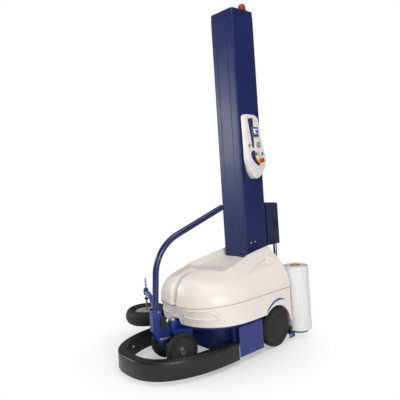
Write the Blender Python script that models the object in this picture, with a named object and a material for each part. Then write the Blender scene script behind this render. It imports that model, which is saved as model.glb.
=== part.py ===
"""Self-propelled pallet-wrapping robot, one named object for each separate piece.

Metres, +Z up.  The machine's nose points along -X and its left side along -Y.
Inside the "machine" empty, X runs back from the bumper's nose, Y = 0 is the
chassis's centre plane and Z = 0 is the floor.
"""

import math

import bmesh
import bpy
from mathutils import Vector

# ---------------------------------------------------------------- clearances
FIT = 0.0003            # gap between two pieces that touch
RUN = 0.0004            # radial gap round a turning shaft
PART_GAP = 0.0005       # seam between two covers

# ---------------------------------------------------------------- chassis
BODY_HALF = 0.386       # centre plane to the cover's side
BODY_REAR = 1.275       # nose to the back of the covers
DECK_BOTTOM = 0.246
DECK_TOP = 0.256
DECK_INSET = 0.016      # deck edge inside the cover
TUB_FRONT = 0.600
TUB_REAR = 0.925
TUB_HALF = 0.262
TUB_CORNER = 0.110
TUB_FLOOR = 0.068
PLATE = 0.008           # chassis steel
SHEET = 0.004           # side panels
PANEL_FRONT = 0.692
PANEL_BOTTOM = 0.038
RAIL_HALF = 0.300       # rail centre line
RAIL_WIDTH = 0.020

# ---------------------------------------------------------------- covers
COVER_WALL = 0.005
SKIRT_BOTTOM = 0.266
SKIRT_TAIL = 0.165      # the skirt comes lower behind the wheels
SEAM_Z = 0.418
SEAM_NOSE = 0.415
SEAM_DIP = 0.022        # the seam runs this much lower at the nose
SKIRT_NOSE = 0.440
NOSE_LENGTH = 0.430     # nose to full width
NOSE_POWER = 2.35
HOOD_FRONT_HEIGHT = 0.575
HOOD_REAR_HEIGHT = 0.738
HOOD_POWER = 2.05
VALLEY_DEPTH = 0.055
ARCH_GAP = 0.011

# ---------------------------------------------------------------- mast
MAST_SIDE = 0.252
MAST_FRONT = 1.090
MAST_WALL = 0.003
MAST_TOP = 2.622
MAST_BOTTOM = 0.268
MAST_FOOT = 0.012
MAST_FOOT_RIM = 0.030
GROOVE = 0.006
SLOT_HALF = 0.032
SLOT_LOW = 0.303
SLOT_ABOVE = 0.134      # closed length of column over the slot
CAP_HEIGHT = 0.046
CAP_LIP = 0.0025
BEACON_IN_X = 0.073     # beacon inside the cap's rear edge
BEACON_IN_Y = 0.051     # and inside its left edge
BEACON_R = 0.0345
BEACON_BASE = 0.016
BEACON_HEIGHT = 0.069

# ---------------------------------------------------------------- rear wheels
REAR_R = 0.150
REAR_COVER = 0.025      # cover reaches this far behind the tyre
REAR_WIDTH = 0.054
REAR_FACE = 0.376       # centre plane to the tyre's outer face
REAR_RIM_R = 0.124
DISC_DEPTH = 0.010
AXLE_R = 0.0125

# ---------------------------------------------------------------- steering
STEER_X = 0.398
STEER_REST = math.radians(-11)
FRONT_R = 0.118
FRONT_WIDTH = 0.046
FRONT_TRACK = 0.124     # centre plane to the tyre's centre
FRONT_RIM_R = 0.088
BOGIE_HALF = 0.092
BOGIE_LEG = 0.010
CROWN_Z = 0.233
CROWN = 0.012
HEAD_TOP = 0.300
HEAD_R = 0.034
SPINDLE_R = 0.013
TILLER_R = 0.0225
TILLER_WALL = 0.003
TILLER_FOOT_X = -0.137  # tube foot ahead of the steering axis
TILLER_PLATE = 0.006    # wall of the channel that holds it
ROD_R = 0.009

# ---------------------------------------------------------------- feeler wheel
FEELER_X = 0.030        # from the steering axis, steered straight
FEELER_OUT = 0.139      # axis outside the cover's side, steered straight
FEELER_R = 0.178
FEELER_WIDTH = 0.110
FEELER_Z = 0.214
FEELER_RIM_R = 0.094
ARM_R = 0.017
ARM_Z = 0.396
SLEEVE_R = 0.017
FEELER_ROD_R = 0.0085
FEELER_ROD_TOP = 0.510
FLOAT = 0.025
COLLAR = 0.014

# ---------------------------------------------------------------- bumper
BUMPER_HALF = 0.388
BUMPER_DEPTH = 0.070
BUMPER_REAR = 0.672
BUMPER_LENGTH = 0.660
BUMPER_POWER = 2.5
BUMPER_BOTTOM = 0.030
BUMPER_TOP = 0.150
BUMPER_WALL = 0.009
BAND = 0.005
BUMPER_TRAVEL = 0.015
GUIDE_W = 0.020
GUIDE_H = 0.030
GUIDE_Z = 0.090
GUIDE_REAR = 0.790

# ---------------------------------------------------------------- carriage
CARRIAGE_GAP = 0.004    # mast's rear face to the back plate
CARRIAGE_DEPTH = 0.170  # mast's rear face to the back of the carriage cover
CARRIAGE_HALF = 0.125
CARRIAGE_LOW = 0.044
CARRIAGE_PLATE = 0.012
BOX_LOW = 0.710
BOX_HIGH = 1.058
BOX_WALL = 0.003
REEL_R = 0.100
REEL_Y = -0.360
REEL_GAP = 0.015        # full roll to the back of the covers
REEL_HEIGHT = 0.500
CORE_R = 0.0405
CORE_WALL = 0.0035
IDLE_R = 0.016
IDLE_BACK = 0.132       # roller axes behind the mast
IDLE_Y = -0.095
DRIVE_ROLL_R = 0.030
DRIVE_ROLL_BACK = 0.078
DRIVE_ROLL_Y = 0.045
PULLEY_R = 0.035
PULLEY_IN = 0.106       # pulley axes inside the mast's rear face
DRIVE_PULLEY_Z = 0.420
TOP_PULLEY_DROP = 0.082 # top pulley's axis below the column's top
BELT = 0.002
BELT_WIDTH = 0.020

# ---------------------------------------------------------------- control panel
CONSOLE_IN_FRONT = 0.014    # panel inside the mast's front edge
CONSOLE_IN_REAR = 0.028     # and inside its rear edge
CONSOLE_LOW = 1.274
CONSOLE_HIGH = 1.798
CONSOLE_BACK = 0.012
CONSOLE_THIN = 0.030
CONSOLE_THICK = 0.062
CONSOLE_WALL = 0.003
BUTTON_R = 0.011
BUTTON_GAP = 0.0006
BUTTON_TRAVEL = 0.003
ESTOP_TRAVEL = 0.006

SIDES = (("left", -1), ("right", 1))


# ================================================================ helpers
for leftover in list(bpy.data.objects):
    bpy.data.objects.remove(leftover, do_unlink=True)


def hex_linear(code):
    channels = []
    for start in (0, 2, 4):
        value = int(code[start:start + 2], 16) / 255
        if value <= 0.04045:
            channels.append(value / 12.92)
        else:
            channels.append(((value + 0.055) / 1.055) ** 2.4)
    return channels


def paint(obj, code, roughness=0.5, metallic=0.0):
    material = bpy.data.materials.new(obj.name)
    material.use_nodes = True
    shader = material.node_tree.nodes["Principled BSDF"]
    shader.inputs["Base Color"].default_value = (*hex_linear(code), 1)
    shader.inputs["Roughness"].default_value = roughness
    shader.inputs["Metallic"].default_value = metallic
    obj.data.materials.clear()
    obj.data.materials.append(material)
    return obj


def empty(name, location, parent=None, turn=0.0):
    """A bare axis system: the joint axes and the machine's own frame."""
    obj = bpy.data.objects.new(name, None)
    obj.location = location
    obj.rotation_euler = (0, 0, turn)
    obj.parent = parent
    bpy.context.scene.collection.objects.link(obj)
    return obj


def solid(name, points, faces, parent, at=(0, 0, 0), smooth=False):
    """A closed mesh object whose points are given from `at`."""
    mesh = bpy.data.meshes.new(name)
    work = bmesh.new()
    verts = [work.verts.new(point) for point in points]
    for face in faces:
        work.faces.new([verts[index] for index in face])
    bmesh.ops.recalc_face_normals(work, faces=work.faces)
    work.to_mesh(mesh)
    work.free()
    for polygon in mesh.polygons:
        polygon.use_smooth = smooth
    obj = bpy.data.objects.new(name, mesh)
    obj.location = at
    obj.parent = parent
    bpy.context.scene.collection.objects.link(obj)
    return obj


def loft(name, loops, parent, at=(0, 0, 0), ring=False, smooth=False):
    """Joins equal loops one after another; a ring closes on itself, else ends are capped."""
    count = len(loops[0])
    points = [point for loop in loops for point in loop]
    faces = []
    last = len(loops) if ring else len(loops) - 1
    for row in range(last):
        here = row * count
        there = (row + 1) % len(loops) * count
        for index in range(count):
            step = (index + 1) % count
            faces.append((here + index, here + step, there + step, there + index))
    if not ring:
        faces.append(tuple(reversed(range(count))))
        faces.append(tuple((len(loops) - 1) * count + index for index in range(count)))
    return solid(name, points, faces, parent, at, smooth)


def box(name, low, high, parent, at=(0, 0, 0)):
    (x0, y0, z0), (x1, y1, z1) = low, high
    loops = [[(x0, y0, z), (x1, y0, z), (x1, y1, z), (x0, y1, z)] for z in (z0, z1)]
    return loft(name, loops, parent, at)


def prism(name, outline, low, high, parent, axis="Z", at=(0, 0, 0)):
    """Extrudes a flat outline; its two numbers are the other two axes in order."""
    def place(a, b, c):
        return {"X": (c, a, b), "Y": (a, c, b), "Z": (a, b, c)}[axis]
    loops = [[place(a, b, level) for a, b in outline] for level in (low, high)]
    return loft(name, loops, parent, at)


def lathe(name, profile, parent, axis="Z", at=(0, 0, 0), steps=16, smooth=True):
    """Turns a closed (radius, height) outline once round the axis through `at`."""
    loops = []
    for step in range(steps):
        angle = 2 * math.pi * step / steps
        loop = []
        for radius, height in profile:
            a = radius * math.cos(angle)
            b = radius * math.sin(angle)
            loop.append({"X": (height, a, b), "Y": (b, height, a), "Z": (a, b, height)}[axis])
        loops.append(loop)
    return loft(name, loops, parent, at, ring=True, smooth=smooth)


def rod(name, radius, low, high, parent, axis="Z", at=(0, 0, 0), steps=16):
    """A solid round bar along the axis through `at`."""
    return prism(name, circle(radius, steps), low, high, parent, axis, at)


def tube(radius, wall, low, high):
    """The (radius, height) outline of a plain tube."""
    return [(radius - wall, low), (radius, low), (radius, high), (radius - wall, high)]


def combine(obj, other, operation="UNION"):
    """Applies one exact Boolean and removes the second object."""
    cut = obj.modifiers.new(operation.title(), "BOOLEAN")
    cut.operation = operation
    cut.solver = "EXACT"
    cut.object = other
    bpy.context.view_layer.update()
    graph = bpy.context.evaluated_depsgraph_get()
    result = bpy.data.meshes.new_from_object(obj.evaluated_get(graph))
    obj.modifiers.clear()
    obj.data = result
    obj.data.name = obj.name
    bpy.data.objects.remove(other, do_unlink=True)
    return obj


def add(obj, *others):
    for other in others:
        combine(obj, other)
    return obj


def cut(obj, *others):
    for other in others:
        combine(obj, other, "DIFFERENCE")
    return obj


def sweep(name, path, section, parent, at=(0, 0, 0), side=(0, 1, 0), smooth=True):
    """Carries a flat section (sideways, upwards) along a path without twisting it."""
    spine = [Vector(point) for point in path]
    loops = []
    for index, point in enumerate(spine):
        ahead = spine[min(index + 1, len(spine) - 1)]
        behind = spine[max(index - 1, 0)]
        along = (ahead - behind).normalized()
        up = Vector(side).cross(along).normalized()
        across = along.cross(up).normalized()
        loops.append([tuple(point + across * a + up * b) for a, b in section])
    return loft(name, loops, parent, at, smooth=smooth)


def circle(radius, steps=12):
    points = []
    for step in range(steps):
        angle = 2 * math.pi * step / steps
        points.append((radius * math.cos(angle), radius * math.sin(angle)))
    return points


def nose_curve(nose, half, length, power, rear, steps=11):
    """Half of a blunt nose in plan, from the centre line back along one side."""
    points = []
    for step in range(steps + 1):
        angle = math.pi / 2 * step / steps
        x = nose + length * (1 - math.cos(angle) ** (2 / power))
        points.append((x, half * math.sin(angle) ** (2 / power)))
    points.append((rear, half))
    return points


def plan(nose, half, length, power, rear, steps=11):
    """The whole plan outline, from the right rear corner round the nose to the left one."""
    side = nose_curve(nose, half, length, power, rear, steps)
    return list(reversed(side)) + [(x, -y) for x, y in side[1:]]


# ================================================================ frame of the machine
# The machine's own frame sits so that the whole machine's box is centred on X = Y = 0.
def turned(x, y, angle):
    return (x * math.cos(angle) - y * math.sin(angle), x * math.sin(angle) + y * math.cos(angle))


MAST_REAR = MAST_FRONT + MAST_SIDE
MAST_X = MAST_FRONT + MAST_SIDE / 2
MAST_HALF = MAST_SIDE / 2
SLOT_HIGH = MAST_TOP - SLOT_ABOVE
TOP_PULLEY_Z = MAST_TOP - TOP_PULLEY_DROP
PULLEY_X = MAST_REAR - PULLEY_IN
CARRIAGE_REAR = MAST_REAR + CARRIAGE_DEPTH
IDLE_X = MAST_REAR + IDLE_BACK
DRIVE_ROLL_X = MAST_REAR + DRIVE_ROLL_BACK
REEL_X = BODY_REAR + REEL_GAP + REEL_R
REAR_AXLE_X = BODY_REAR - REAR_COVER - REAR_R
FEELER_Y = BODY_HALF + FEELER_OUT
FEELER_REACH = turned(FEELER_X, FEELER_Y, STEER_REST)[1] + FEELER_R
REEL_REACH = REEL_Y - REEL_R
MACHINE_REAR = max(CARRIAGE_REAR, REEL_X + REEL_R)
machine = empty("machine", (-MACHINE_REAR / 2, -(FEELER_REACH + REEL_REACH) / 2, 0))

# ================================================================ chassis
# Welded steel: a deck, a rounded battery tub below it, two rails that hold the rear
# axle, a rear plate, the steering head on its beam and two sleeves for the bumper.
deck_outline = plan(SKIRT_NOSE + DECK_INSET, BODY_HALF - DECK_INSET, NOSE_LENGTH,
                    NOSE_POWER, BODY_REAR - DECK_INSET)
chassis = prism("chassis_frame", deck_outline, DECK_BOTTOM, DECK_TOP, machine)
WELL_HALF = REAR_FACE - REAR_WIDTH - ARCH_GAP
for _, hand in SIDES:
    near, far = sorted((hand * WELL_HALF, hand * BODY_HALF))
    cut(chassis, box("wheel_well", (REAR_AXLE_X - REAR_R - ARCH_GAP, near, DECK_BOTTOM - PLATE),
                     (REAR_AXLE_X + REAR_R + ARCH_GAP, far, DECK_TOP + PLATE), machine))


def tub_outline(inset):
    half = TUB_HALF - inset
    radius = TUB_CORNER - inset
    centre_x = TUB_FRONT + TUB_CORNER
    centre_y = TUB_HALF - TUB_CORNER
    outline = [(TUB_REAR - inset, half)]
    for step in range(7):
        angle = math.pi / 2 * (1 + step / 6)
        outline.append((centre_x + radius * math.cos(angle), centre_y + radius * math.sin(angle)))
    outline += [(x, -y) for x, y in reversed(outline)]
    return outline


tub = prism("tub", tub_outline(0), TUB_FLOOR, DECK_BOTTOM + PLATE / 2, machine)
cut(tub, prism("tub_room", tub_outline(PLATE), TUB_FLOOR + PLATE, DECK_TOP, machine))
add(chassis, tub)
cut(chassis, box("battery_hatch", (TUB_FRONT + TUB_CORNER, -TUB_HALF + 2 * PLATE, DECK_BOTTOM - PLATE),
                 (TUB_REAR - 2 * PLATE, TUB_HALF - 2 * PLATE, DECK_TOP + PLATE), machine))
RAIL_LOW = REAR_R - 3 * AXLE_R
REAR_PLATE_X = BODY_REAR - COVER_WALL - 2 * FIT - PLATE
for _, hand in SIDES:
    add(chassis, box("rail", (TUB_REAR - PLATE, hand * RAIL_HALF - RAIL_WIDTH / 2, RAIL_LOW),
                     (REAR_PLATE_X + PLATE / 2, hand * RAIL_HALF + RAIL_WIDTH / 2,
                      DECK_BOTTOM + PLATE / 2), machine))
    cut(chassis, rod("axle_bore", AXLE_R + RUN, hand * RAIL_HALF - RAIL_WIDTH,
                     hand * RAIL_HALF + RAIL_WIDTH, machine, "Y", (REAR_AXLE_X, 0, REAR_R), 16))
rail_tie = box("rail_tie", (TUB_REAR - PLATE, -RAIL_HALF, RAIL_LOW),
               (TUB_REAR, RAIL_HALF, DECK_BOTTOM + PLATE / 2), machine)
rear_plate = box("rear_plate", (REAR_PLATE_X, -RAIL_HALF - RAIL_WIDTH / 2, TUB_FLOOR),
                 (REAR_PLATE_X + PLATE, RAIL_HALF + RAIL_WIDTH / 2, DECK_BOTTOM + PLATE / 2), machine)
add(chassis, rail_tie, rear_plate)

# The steering head stands on a beam that leaves the deck through the skirt's nose.
HEAD_LOW = CROWN_Z + CROWN + FIT
BEAM_HALF = HEAD_R * 0.8
BEAM_LOW = DECK_TOP - PLATE / 2
BEAM_HIGH = HEAD_TOP - PLATE
beam = box("beam", (STEER_X, -BEAM_HALF, BEAM_LOW), (TUB_FRONT + TUB_CORNER, BEAM_HALF, BEAM_HIGH),
           machine)
head = rod("head", HEAD_R, HEAD_LOW, HEAD_TOP, machine, at=(STEER_X, 0, 0), steps=16)
add(chassis, beam, head)
cut(chassis, rod("head_bore", SPINDLE_R + RUN, HEAD_LOW - PLATE, HEAD_TOP + PLATE, machine,
                 at=(STEER_X, 0, 0), steps=16))

# Sleeves that guide the bumper's arms, hung under the deck beside the tub.
SLEEVE_X = BUMPER_REAR + 2 * BUMPER_TRAVEL
GUIDE_Y = BUMPER_HALF - BUMPER_DEPTH - BAND - GUIDE_W / 2 - FIT
SLEEVE_LENGTH = 0.040
for _, hand in SIDES:
    y = hand * GUIDE_Y
    half = GUIDE_W / 2 + PLATE
    sleeve = box("sleeve", (SLEEVE_X, y - half, GUIDE_Z - PLATE),
                 (SLEEVE_X + SLEEVE_LENGTH, y + half, DECK_BOTTOM + PLATE / 2), machine)
    cut(sleeve, box("sleeve_way", (SLEEVE_X - PLATE, y - GUIDE_W / 2 - FIT, GUIDE_Z - FIT),
                    (SLEEVE_X + 2 * SLEEVE_LENGTH, y + GUIDE_W / 2 + FIT, GUIDE_Z + GUIDE_H + FIT),
                    machine))
    add(chassis, sleeve)
paint(chassis, "26356F", 0.45, 0.0)

# ---------------------------------------------------------------- side panels
# Sheet steel, folded inwards along the top and screwed up to the deck's edge.
for name, hand in SIDES:
    outer = hand * (BODY_HALF - 2 * SHEET)
    inner = hand * (BODY_HALF - 3 * SHEET)
    fold = hand * (BODY_HALF - DECK_INSET * 2.5)
    panel_rear = REAR_AXLE_X - REAR_R - ARCH_GAP
    panel = box("side_panel_" + name, (PANEL_FRONT, min(outer, inner), PANEL_BOTTOM),
                (panel_rear, max(outer, inner), DECK_BOTTOM - FIT), machine)
    top = box("fold", (PANEL_FRONT, min(outer, fold), DECK_BOTTOM - FIT - SHEET),
              (panel_rear, max(outer, fold), DECK_BOTTOM - FIT), machine)
    add(panel, top)
    paint(panel, "454C85", 0.4)

# ---------------------------------------------------------------- battery and drive
BATTERY_GAP = 0.006
battery = box("battery_pack",
              (TUB_FRONT + TUB_CORNER + BATTERY_GAP, -TUB_HALF + PLATE + BATTERY_GAP,
               TUB_FLOOR + PLATE + FIT),
              (TUB_REAR - PLATE - BATTERY_GAP, TUB_HALF - PLATE - BATTERY_GAP, DECK_BOTTOM - PLATE),
              machine)
paint(battery, "2A2C30", 0.6)

# Motor, reduction gear and differential in one case, hung between the two rails.
DRIVE_HALF = 0.085
drive = box("drive_unit", (REAR_AXLE_X - 0.060, -DRIVE_HALF, REAR_R - 0.055),
            (REAR_AXLE_X + 0.060, DRIVE_HALF, DECK_BOTTOM - FIT), machine)
motor = rod("motor", 0.050, TUB_REAR + 0.012, REAR_AXLE_X, machine, "X", (0, 0.02, REAR_R + 0.015), 24)
add(drive, motor)
cut(drive, rod("drive_bore", AXLE_R + RUN, -2 * DRIVE_HALF, 2 * DRIVE_HALF, machine, "Y",
               (REAR_AXLE_X, 0, REAR_R), 16))
paint(drive, "3A3D42", 0.5, 0.6)

# ================================================================ rear wheels
# Solid rubber tyres on cast rims, each behind a plain black cover disc.
for name, hand in SIDES:
    hub = empty("rear_wheel_axis_" + name, (REAR_AXLE_X, 0, REAR_R), machine)
    face = hand * REAR_FACE
    inner = hand * (REAR_FACE - REAR_WIDTH)
    edge = hand * 0.006
    tyre = lathe("rear_tyre_" + name, [
        (AXLE_R + FIT, inner), (REAR_R - 0.010, inner), (REAR_R, inner + 2 * edge),
        (REAR_R, face - 2 * edge), (REAR_R - 0.010, face), (REAR_RIM_R, face),
        (REAR_RIM_R - 0.010, face - edge), (AXLE_R + FIT, face - edge)], hub, "Y", steps=24)
    paint(tyre, "1B1A1B", 0.8)
    seat = face - edge + hand * FIT
    cover = lathe("rear_disc_" + name, [
        (AXLE_R + FIT, seat), (REAR_RIM_R - 0.012, seat), (REAR_RIM_R - 0.003, face + hand * FIT),
        (REAR_RIM_R + 0.010, face + hand * FIT),
        (REAR_RIM_R + 0.010, face + hand * DISC_DEPTH / 2),
        (REAR_RIM_R - 0.006, face + hand * DISC_DEPTH),
        (0.030, face + hand * DISC_DEPTH), (0.022, face + hand * DISC_DEPTH * 1.6),
        (AXLE_R + FIT, face + hand * DISC_DEPTH * 1.6)], hub, "Y", steps=24)
    paint(cover, "3F3A3A", 0.55)
    ends = sorted((hand * 0.004, face + hand * DISC_DEPTH * 1.2))
    paint(rod("half_axle_" + name, AXLE_R, ends[0], ends[1], hub, "Y", steps=16), "8A8C90", 0.35, 0.9)

# ================================================================ covers
# Thermoformed cream covers.  The skirt is one ring round the chassis, cut for the
# wheels, the steering beam and the mast; the hood is a dome with a valley to the mast.
def seam_z(x):
    """Height of the seam between skirt and hood, lower towards the nose."""
    run = min(max((x - SEAM_NOSE) / NOSE_LENGTH, 0), 1)
    return SEAM_Z - SEAM_DIP * (1 - run) ** 2


def skirt_section(outer_top, outer_low, inner_low, inner_top):
    high = seam_z(outer_top[0]) - PART_GAP
    return [(*outer_top, high), (*outer_low, SKIRT_TAIL), (*inner_low, SKIRT_TAIL), (*inner_top, high)]


def skirt_plan(nose, inset):
    return plan(nose + inset, BODY_HALF - inset, NOSE_LENGTH, NOSE_POWER, BODY_REAR - inset)


top_out = skirt_plan(SEAM_NOSE, 0)
low_out = skirt_plan(SKIRT_NOSE + (SKIRT_NOSE - SEAM_NOSE), 0)
low_in = skirt_plan(SKIRT_NOSE + (SKIRT_NOSE - SEAM_NOSE), COVER_WALL)
top_in = skirt_plan(SEAM_NOSE, COVER_WALL)
skirt = loft("lower_cover", [skirt_section(*row) for row in zip(top_out, low_out, low_in, top_in)],
             machine, ring=True, smooth=True)
cut(skirt, box("front_trim", (0, -1, 0), (REAR_AXLE_X, 1, SKIRT_BOTTOM), machine))
for _, hand in SIDES:
    ends = sorted((hand * WELL_HALF, hand * 0.5))
    cut(skirt, rod("arch", REAR_R + ARCH_GAP, ends[0], ends[1], machine, "Y", (REAR_AXLE_X, 0, REAR_R),
                   28))
MAST_GAP = 0.003
cut(skirt, box("mast_way", (MAST_FRONT - MAST_GAP, -MAST_HALF - MAST_GAP, 0),
               (MAST_REAR, MAST_HALF + MAST_GAP, 1), machine))
NOSE_HOLE = BEAM_HALF + 0.008
cut(skirt, box("nose_way", (SEAM_NOSE - 0.1, -NOSE_HOLE, SKIRT_TAIL),
               (SEAM_NOSE + 0.1, NOSE_HOLE, HEAD_TOP + PLATE), machine))
paint(skirt, "EBE5E0", 0.35)


def hood_loop(x, half, height, steps=18):
    """One cross-section of the dome, seam to seam, with the valley pressed into it."""
    loop = []
    seam = seam_z(x)
    run = (x - SEAM_NOSE) / (MAST_FRONT - SEAM_NOSE)
    valley_half = 0.035 + 0.110 * min(max(run, 0), 1) ** 2
    for step in range(steps + 1):
        angle = math.pi * step / steps
        side = math.cos(angle)
        y = half * math.copysign(abs(side) ** (2 / HOOD_POWER), side)
        rise = math.sin(angle) ** (2 / HOOD_POWER)
        dip = VALLEY_DEPTH * math.exp(-(y / valley_half) ** 4) * math.sin(angle) ** 2
        dip *= min((height - seam) / 0.2, 1)
        loop.append((x, y, seam + (height - seam - dip) * rise))
    return loop


def hood_height(x):
    run = min(max((x - SEAM_NOSE) / 0.120, 0), 1)
    climb = (x - SEAM_NOSE) / (BODY_REAR - SEAM_NOSE)
    crown = HOOD_FRONT_HEIGHT + (HOOD_REAR_HEIGHT - HOOD_FRONT_HEIGHT) * climb ** 0.8
    return seam_z(x) + (crown - seam_z(x)) * (1 - (1 - run) ** 2.6) ** 0.5


def hood_half(x, nose, half):
    run = min(max((x - nose) / NOSE_LENGTH, 0), 1)
    return half * (1 - (1 - run) ** NOSE_POWER) ** (1 / NOSE_POWER)


def hood_loops(inset, rear, stations=13):
    loops = []
    nose = SEAM_NOSE + inset
    for step in range(1, stations + 1):
        x = nose + (rear - nose) * (step / stations) ** 1.9
        loops.append(hood_loop(x, hood_half(x, nose, BODY_HALF - inset), hood_height(x) - inset))
    return loops


def hood_shell():
    outer = hood_loops(0, BODY_REAR)
    inner = hood_loops(COVER_WALL, BODY_REAR - COVER_WALL)
    count = len(outer[0])
    points = []
    faces = []
    for loops in (outer, inner):
        points += [point for loop in loops for point in loop]
    rows = len(outer)
    shift = rows * count
    for row in range(rows - 1):
        for index in range(count - 1):
            a = row * count + index
            b = a + count
            faces.append((a, a + 1, b + 1, b))
            faces.append((a + shift, b + shift, b + shift + 1, a + shift + 1))
    for row in range(rows - 1):
        for index in (0, count - 1):
            a = row * count + index
            faces.append((a, a + count, a + count + shift, a + shift))
    tips = []
    for offset, nose in ((0, SEAM_NOSE), (shift, SEAM_NOSE + COVER_WALL)):
        points.append((nose, 0, seam_z(nose)))
        tips.append(len(points) - 1)
        for index in range(count - 1):
            faces.append((tips[-1], offset + index, offset + index + 1))
    faces.append((tips[0], 0, shift, tips[1]))
    faces.append((tips[0], count - 1, shift + count - 1, tips[1]))
    last = (rows - 1) * count
    faces.append(tuple(last + index for index in range(count)))
    faces.append(tuple(last + shift + index for index in range(count)))
    a, b = last, last + count - 1
    faces.append((a, b, b + shift, a + shift))
    return solid("upper_hood", points, faces, machine, smooth=True)


hood = hood_shell()
cut(hood, box("mast_way", (MAST_FRONT - MAST_GAP, -MAST_HALF - MAST_GAP, 0),
              (MAST_REAR, MAST_HALF + MAST_GAP, 1), machine))
paint(hood, "EBE5E0", 0.35)

# ================================================================ mast
# Folded sheet column, open down the back for the carriage, on a welded foot plate.
def mast_profile():
    """Outline of the folded sheet in plan, walked outside and back inside."""
    front = -MAST_HALF
    grooves = []
    for centre in (0.070, -0.050):
        grooves += [(front, centre + GROOVE), (front + GROOVE, centre), (front, centre - GROOVE)]
    outer = [(MAST_HALF, SLOT_HALF), (MAST_HALF, MAST_HALF - GROOVE), (MAST_HALF - GROOVE, MAST_HALF),
             (front + GROOVE, MAST_HALF), (front, MAST_HALF - GROOVE)]
    outer += grooves
    outer += [(front, -MAST_HALF + GROOVE), (front + GROOVE, -MAST_HALF),
              (MAST_HALF - GROOVE, -MAST_HALF), (MAST_HALF, -MAST_HALF + GROOVE),
              (MAST_HALF, -SLOT_HALF)]
    room = MAST_HALF - MAST_WALL
    corner = room - GROOVE / 2
    inner = [(room, -SLOT_HALF), (room, -corner), (corner, -room), (-room + GROOVE, -room),
             (-room + GROOVE, room), (corner, room), (room, corner), (room, SLOT_HALF)]
    return [(MAST_X + x, y) for x, y in outer + inner]


column = prism("mast_column", mast_profile(), MAST_BOTTOM - MAST_FOOT / 2, MAST_TOP, machine)
foot = box("foot", (MAST_FRONT - MAST_FOOT_RIM, -MAST_HALF - MAST_FOOT_RIM,
                    MAST_BOTTOM - MAST_FOOT + FIT),
           (BODY_REAR - COVER_WALL - MAST_GAP, MAST_HALF + MAST_FOOT_RIM, MAST_BOTTOM), machine)
for low, high in ((MAST_BOTTOM, SLOT_LOW), (SLOT_HIGH, MAST_TOP)):
    add(column, box("web", (MAST_REAR - MAST_WALL, -SLOT_HALF - GROOVE, low),
                    (MAST_REAR, SLOT_HALF + GROOVE, high), machine))
add(column, foot)
paint(column, "3D457A", 0.4, 0.0)

CAP_LOW = MAST_TOP - CAP_LIP * 2
cap = box("mast_cap", (MAST_FRONT - CAP_LIP, -MAST_HALF - CAP_LIP, CAP_LOW),
          (MAST_REAR + CAP_LIP, MAST_HALF + CAP_LIP, MAST_TOP + CAP_HEIGHT), machine)
cut(cap, box("cap_room", (MAST_FRONT - FIT, -MAST_HALF - FIT, CAP_LOW - CAP_LIP),
             (MAST_REAR + FIT, MAST_HALF + FIT, MAST_TOP + FIT), machine))
cut(cap, box("cap_hollow", (MAST_FRONT + 0.02, -MAST_HALF + 0.02, MAST_TOP - CAP_LIP),
             (MAST_REAR - 0.02, MAST_HALF - 0.02, MAST_TOP + CAP_HEIGHT - CAP_LIP), machine))
paint(cap, "1C1D22", 0.5)

beacon_at = (MAST_REAR - BEACON_IN_X, BEACON_IN_Y - MAST_HALF, MAST_TOP + CAP_HEIGHT + FIT)
beacon_base = lathe("beacon_base", tube(BEACON_R, BEACON_R - 0.008, 0, BEACON_BASE), machine,
                    at=beacon_at)
paint(beacon_base, "18181A", 0.5)
dome = [(BEACON_R - 0.007, BEACON_BASE + FIT), (BEACON_R - 0.004, BEACON_BASE + FIT)]
for step in range(4):
    angle = math.pi / 2 * step / 4
    dome.append(((BEACON_R - 0.004) * math.cos(angle), BEACON_HEIGHT - 0.018 + 0.018 * math.sin(angle)))
dome.append((0.006, BEACON_HEIGHT))
dome.append((0.006, BEACON_HEIGHT - 0.003))
dome.append((BEACON_R - 0.009, BEACON_HEIGHT - 0.020))
beacon_lens = lathe("beacon_lens", dome, machine, at=beacon_at, steps=16)
paint(beacon_lens, "E38A1C", 0.2)

# ---------------------------------------------------------------- lift drive in the mast
# A belt loop on two pulleys raises the carriage; the gearmotor is bolted to the mast's
# right-hand wall.
drive_axis = empty("drive_pulley_axis", (PULLEY_X, 0, DRIVE_PULLEY_Z), machine)
top_axis = empty("top_pulley_axis", (PULLEY_X, 0, TOP_PULLEY_Z), machine)
PULLEY_HALF = BELT_WIDTH / 2 + 0.003
SHAFT_R = 0.008
ROOM_HALF = MAST_HALF - MAST_WALL - FIT


def pulley_profile(left, right):
    return [(0.002, left), (SHAFT_R, left), (SHAFT_R, -PULLEY_HALF), (PULLEY_R, -PULLEY_HALF),
            (PULLEY_R, PULLEY_HALF), (SHAFT_R, PULLEY_HALF), (SHAFT_R, right), (0.002, right)]


MOTOR_NEAR = 0.030
paint(lathe("drive_pulley", pulley_profile(-ROOM_HALF, MOTOR_NEAR - FIT), drive_axis, "Y", steps=24),
      "8E9094", 0.4, 0.9)
paint(lathe("top_pulley", pulley_profile(-ROOM_HALF, ROOM_HALF), top_axis, "Y", steps=24),
      "8E9094", 0.4, 0.9)
lift_motor = rod("lift_motor", 0.042, MOTOR_NEAR, ROOM_HALF, machine, "Y",
                 (PULLEY_X, 0, DRIVE_PULLEY_Z), 24)
paint(lift_motor, "33363B", 0.5, 0.5)


BELT_STEPS = 12         # facets round each half turn
BELT_INNER = PULLEY_R / math.cos(math.pi / BELT_STEPS / 2) + FIT


def belt_loop(radius):
    points = []
    for centre, start in ((TOP_PULLEY_Z, 0), (DRIVE_PULLEY_Z, math.pi)):
        for step in range(BELT_STEPS + 1):
            angle = start + math.pi * step / BELT_STEPS
            points.append((PULLEY_X + radius * math.cos(angle), centre + radius * math.sin(angle)))
    return points


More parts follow.
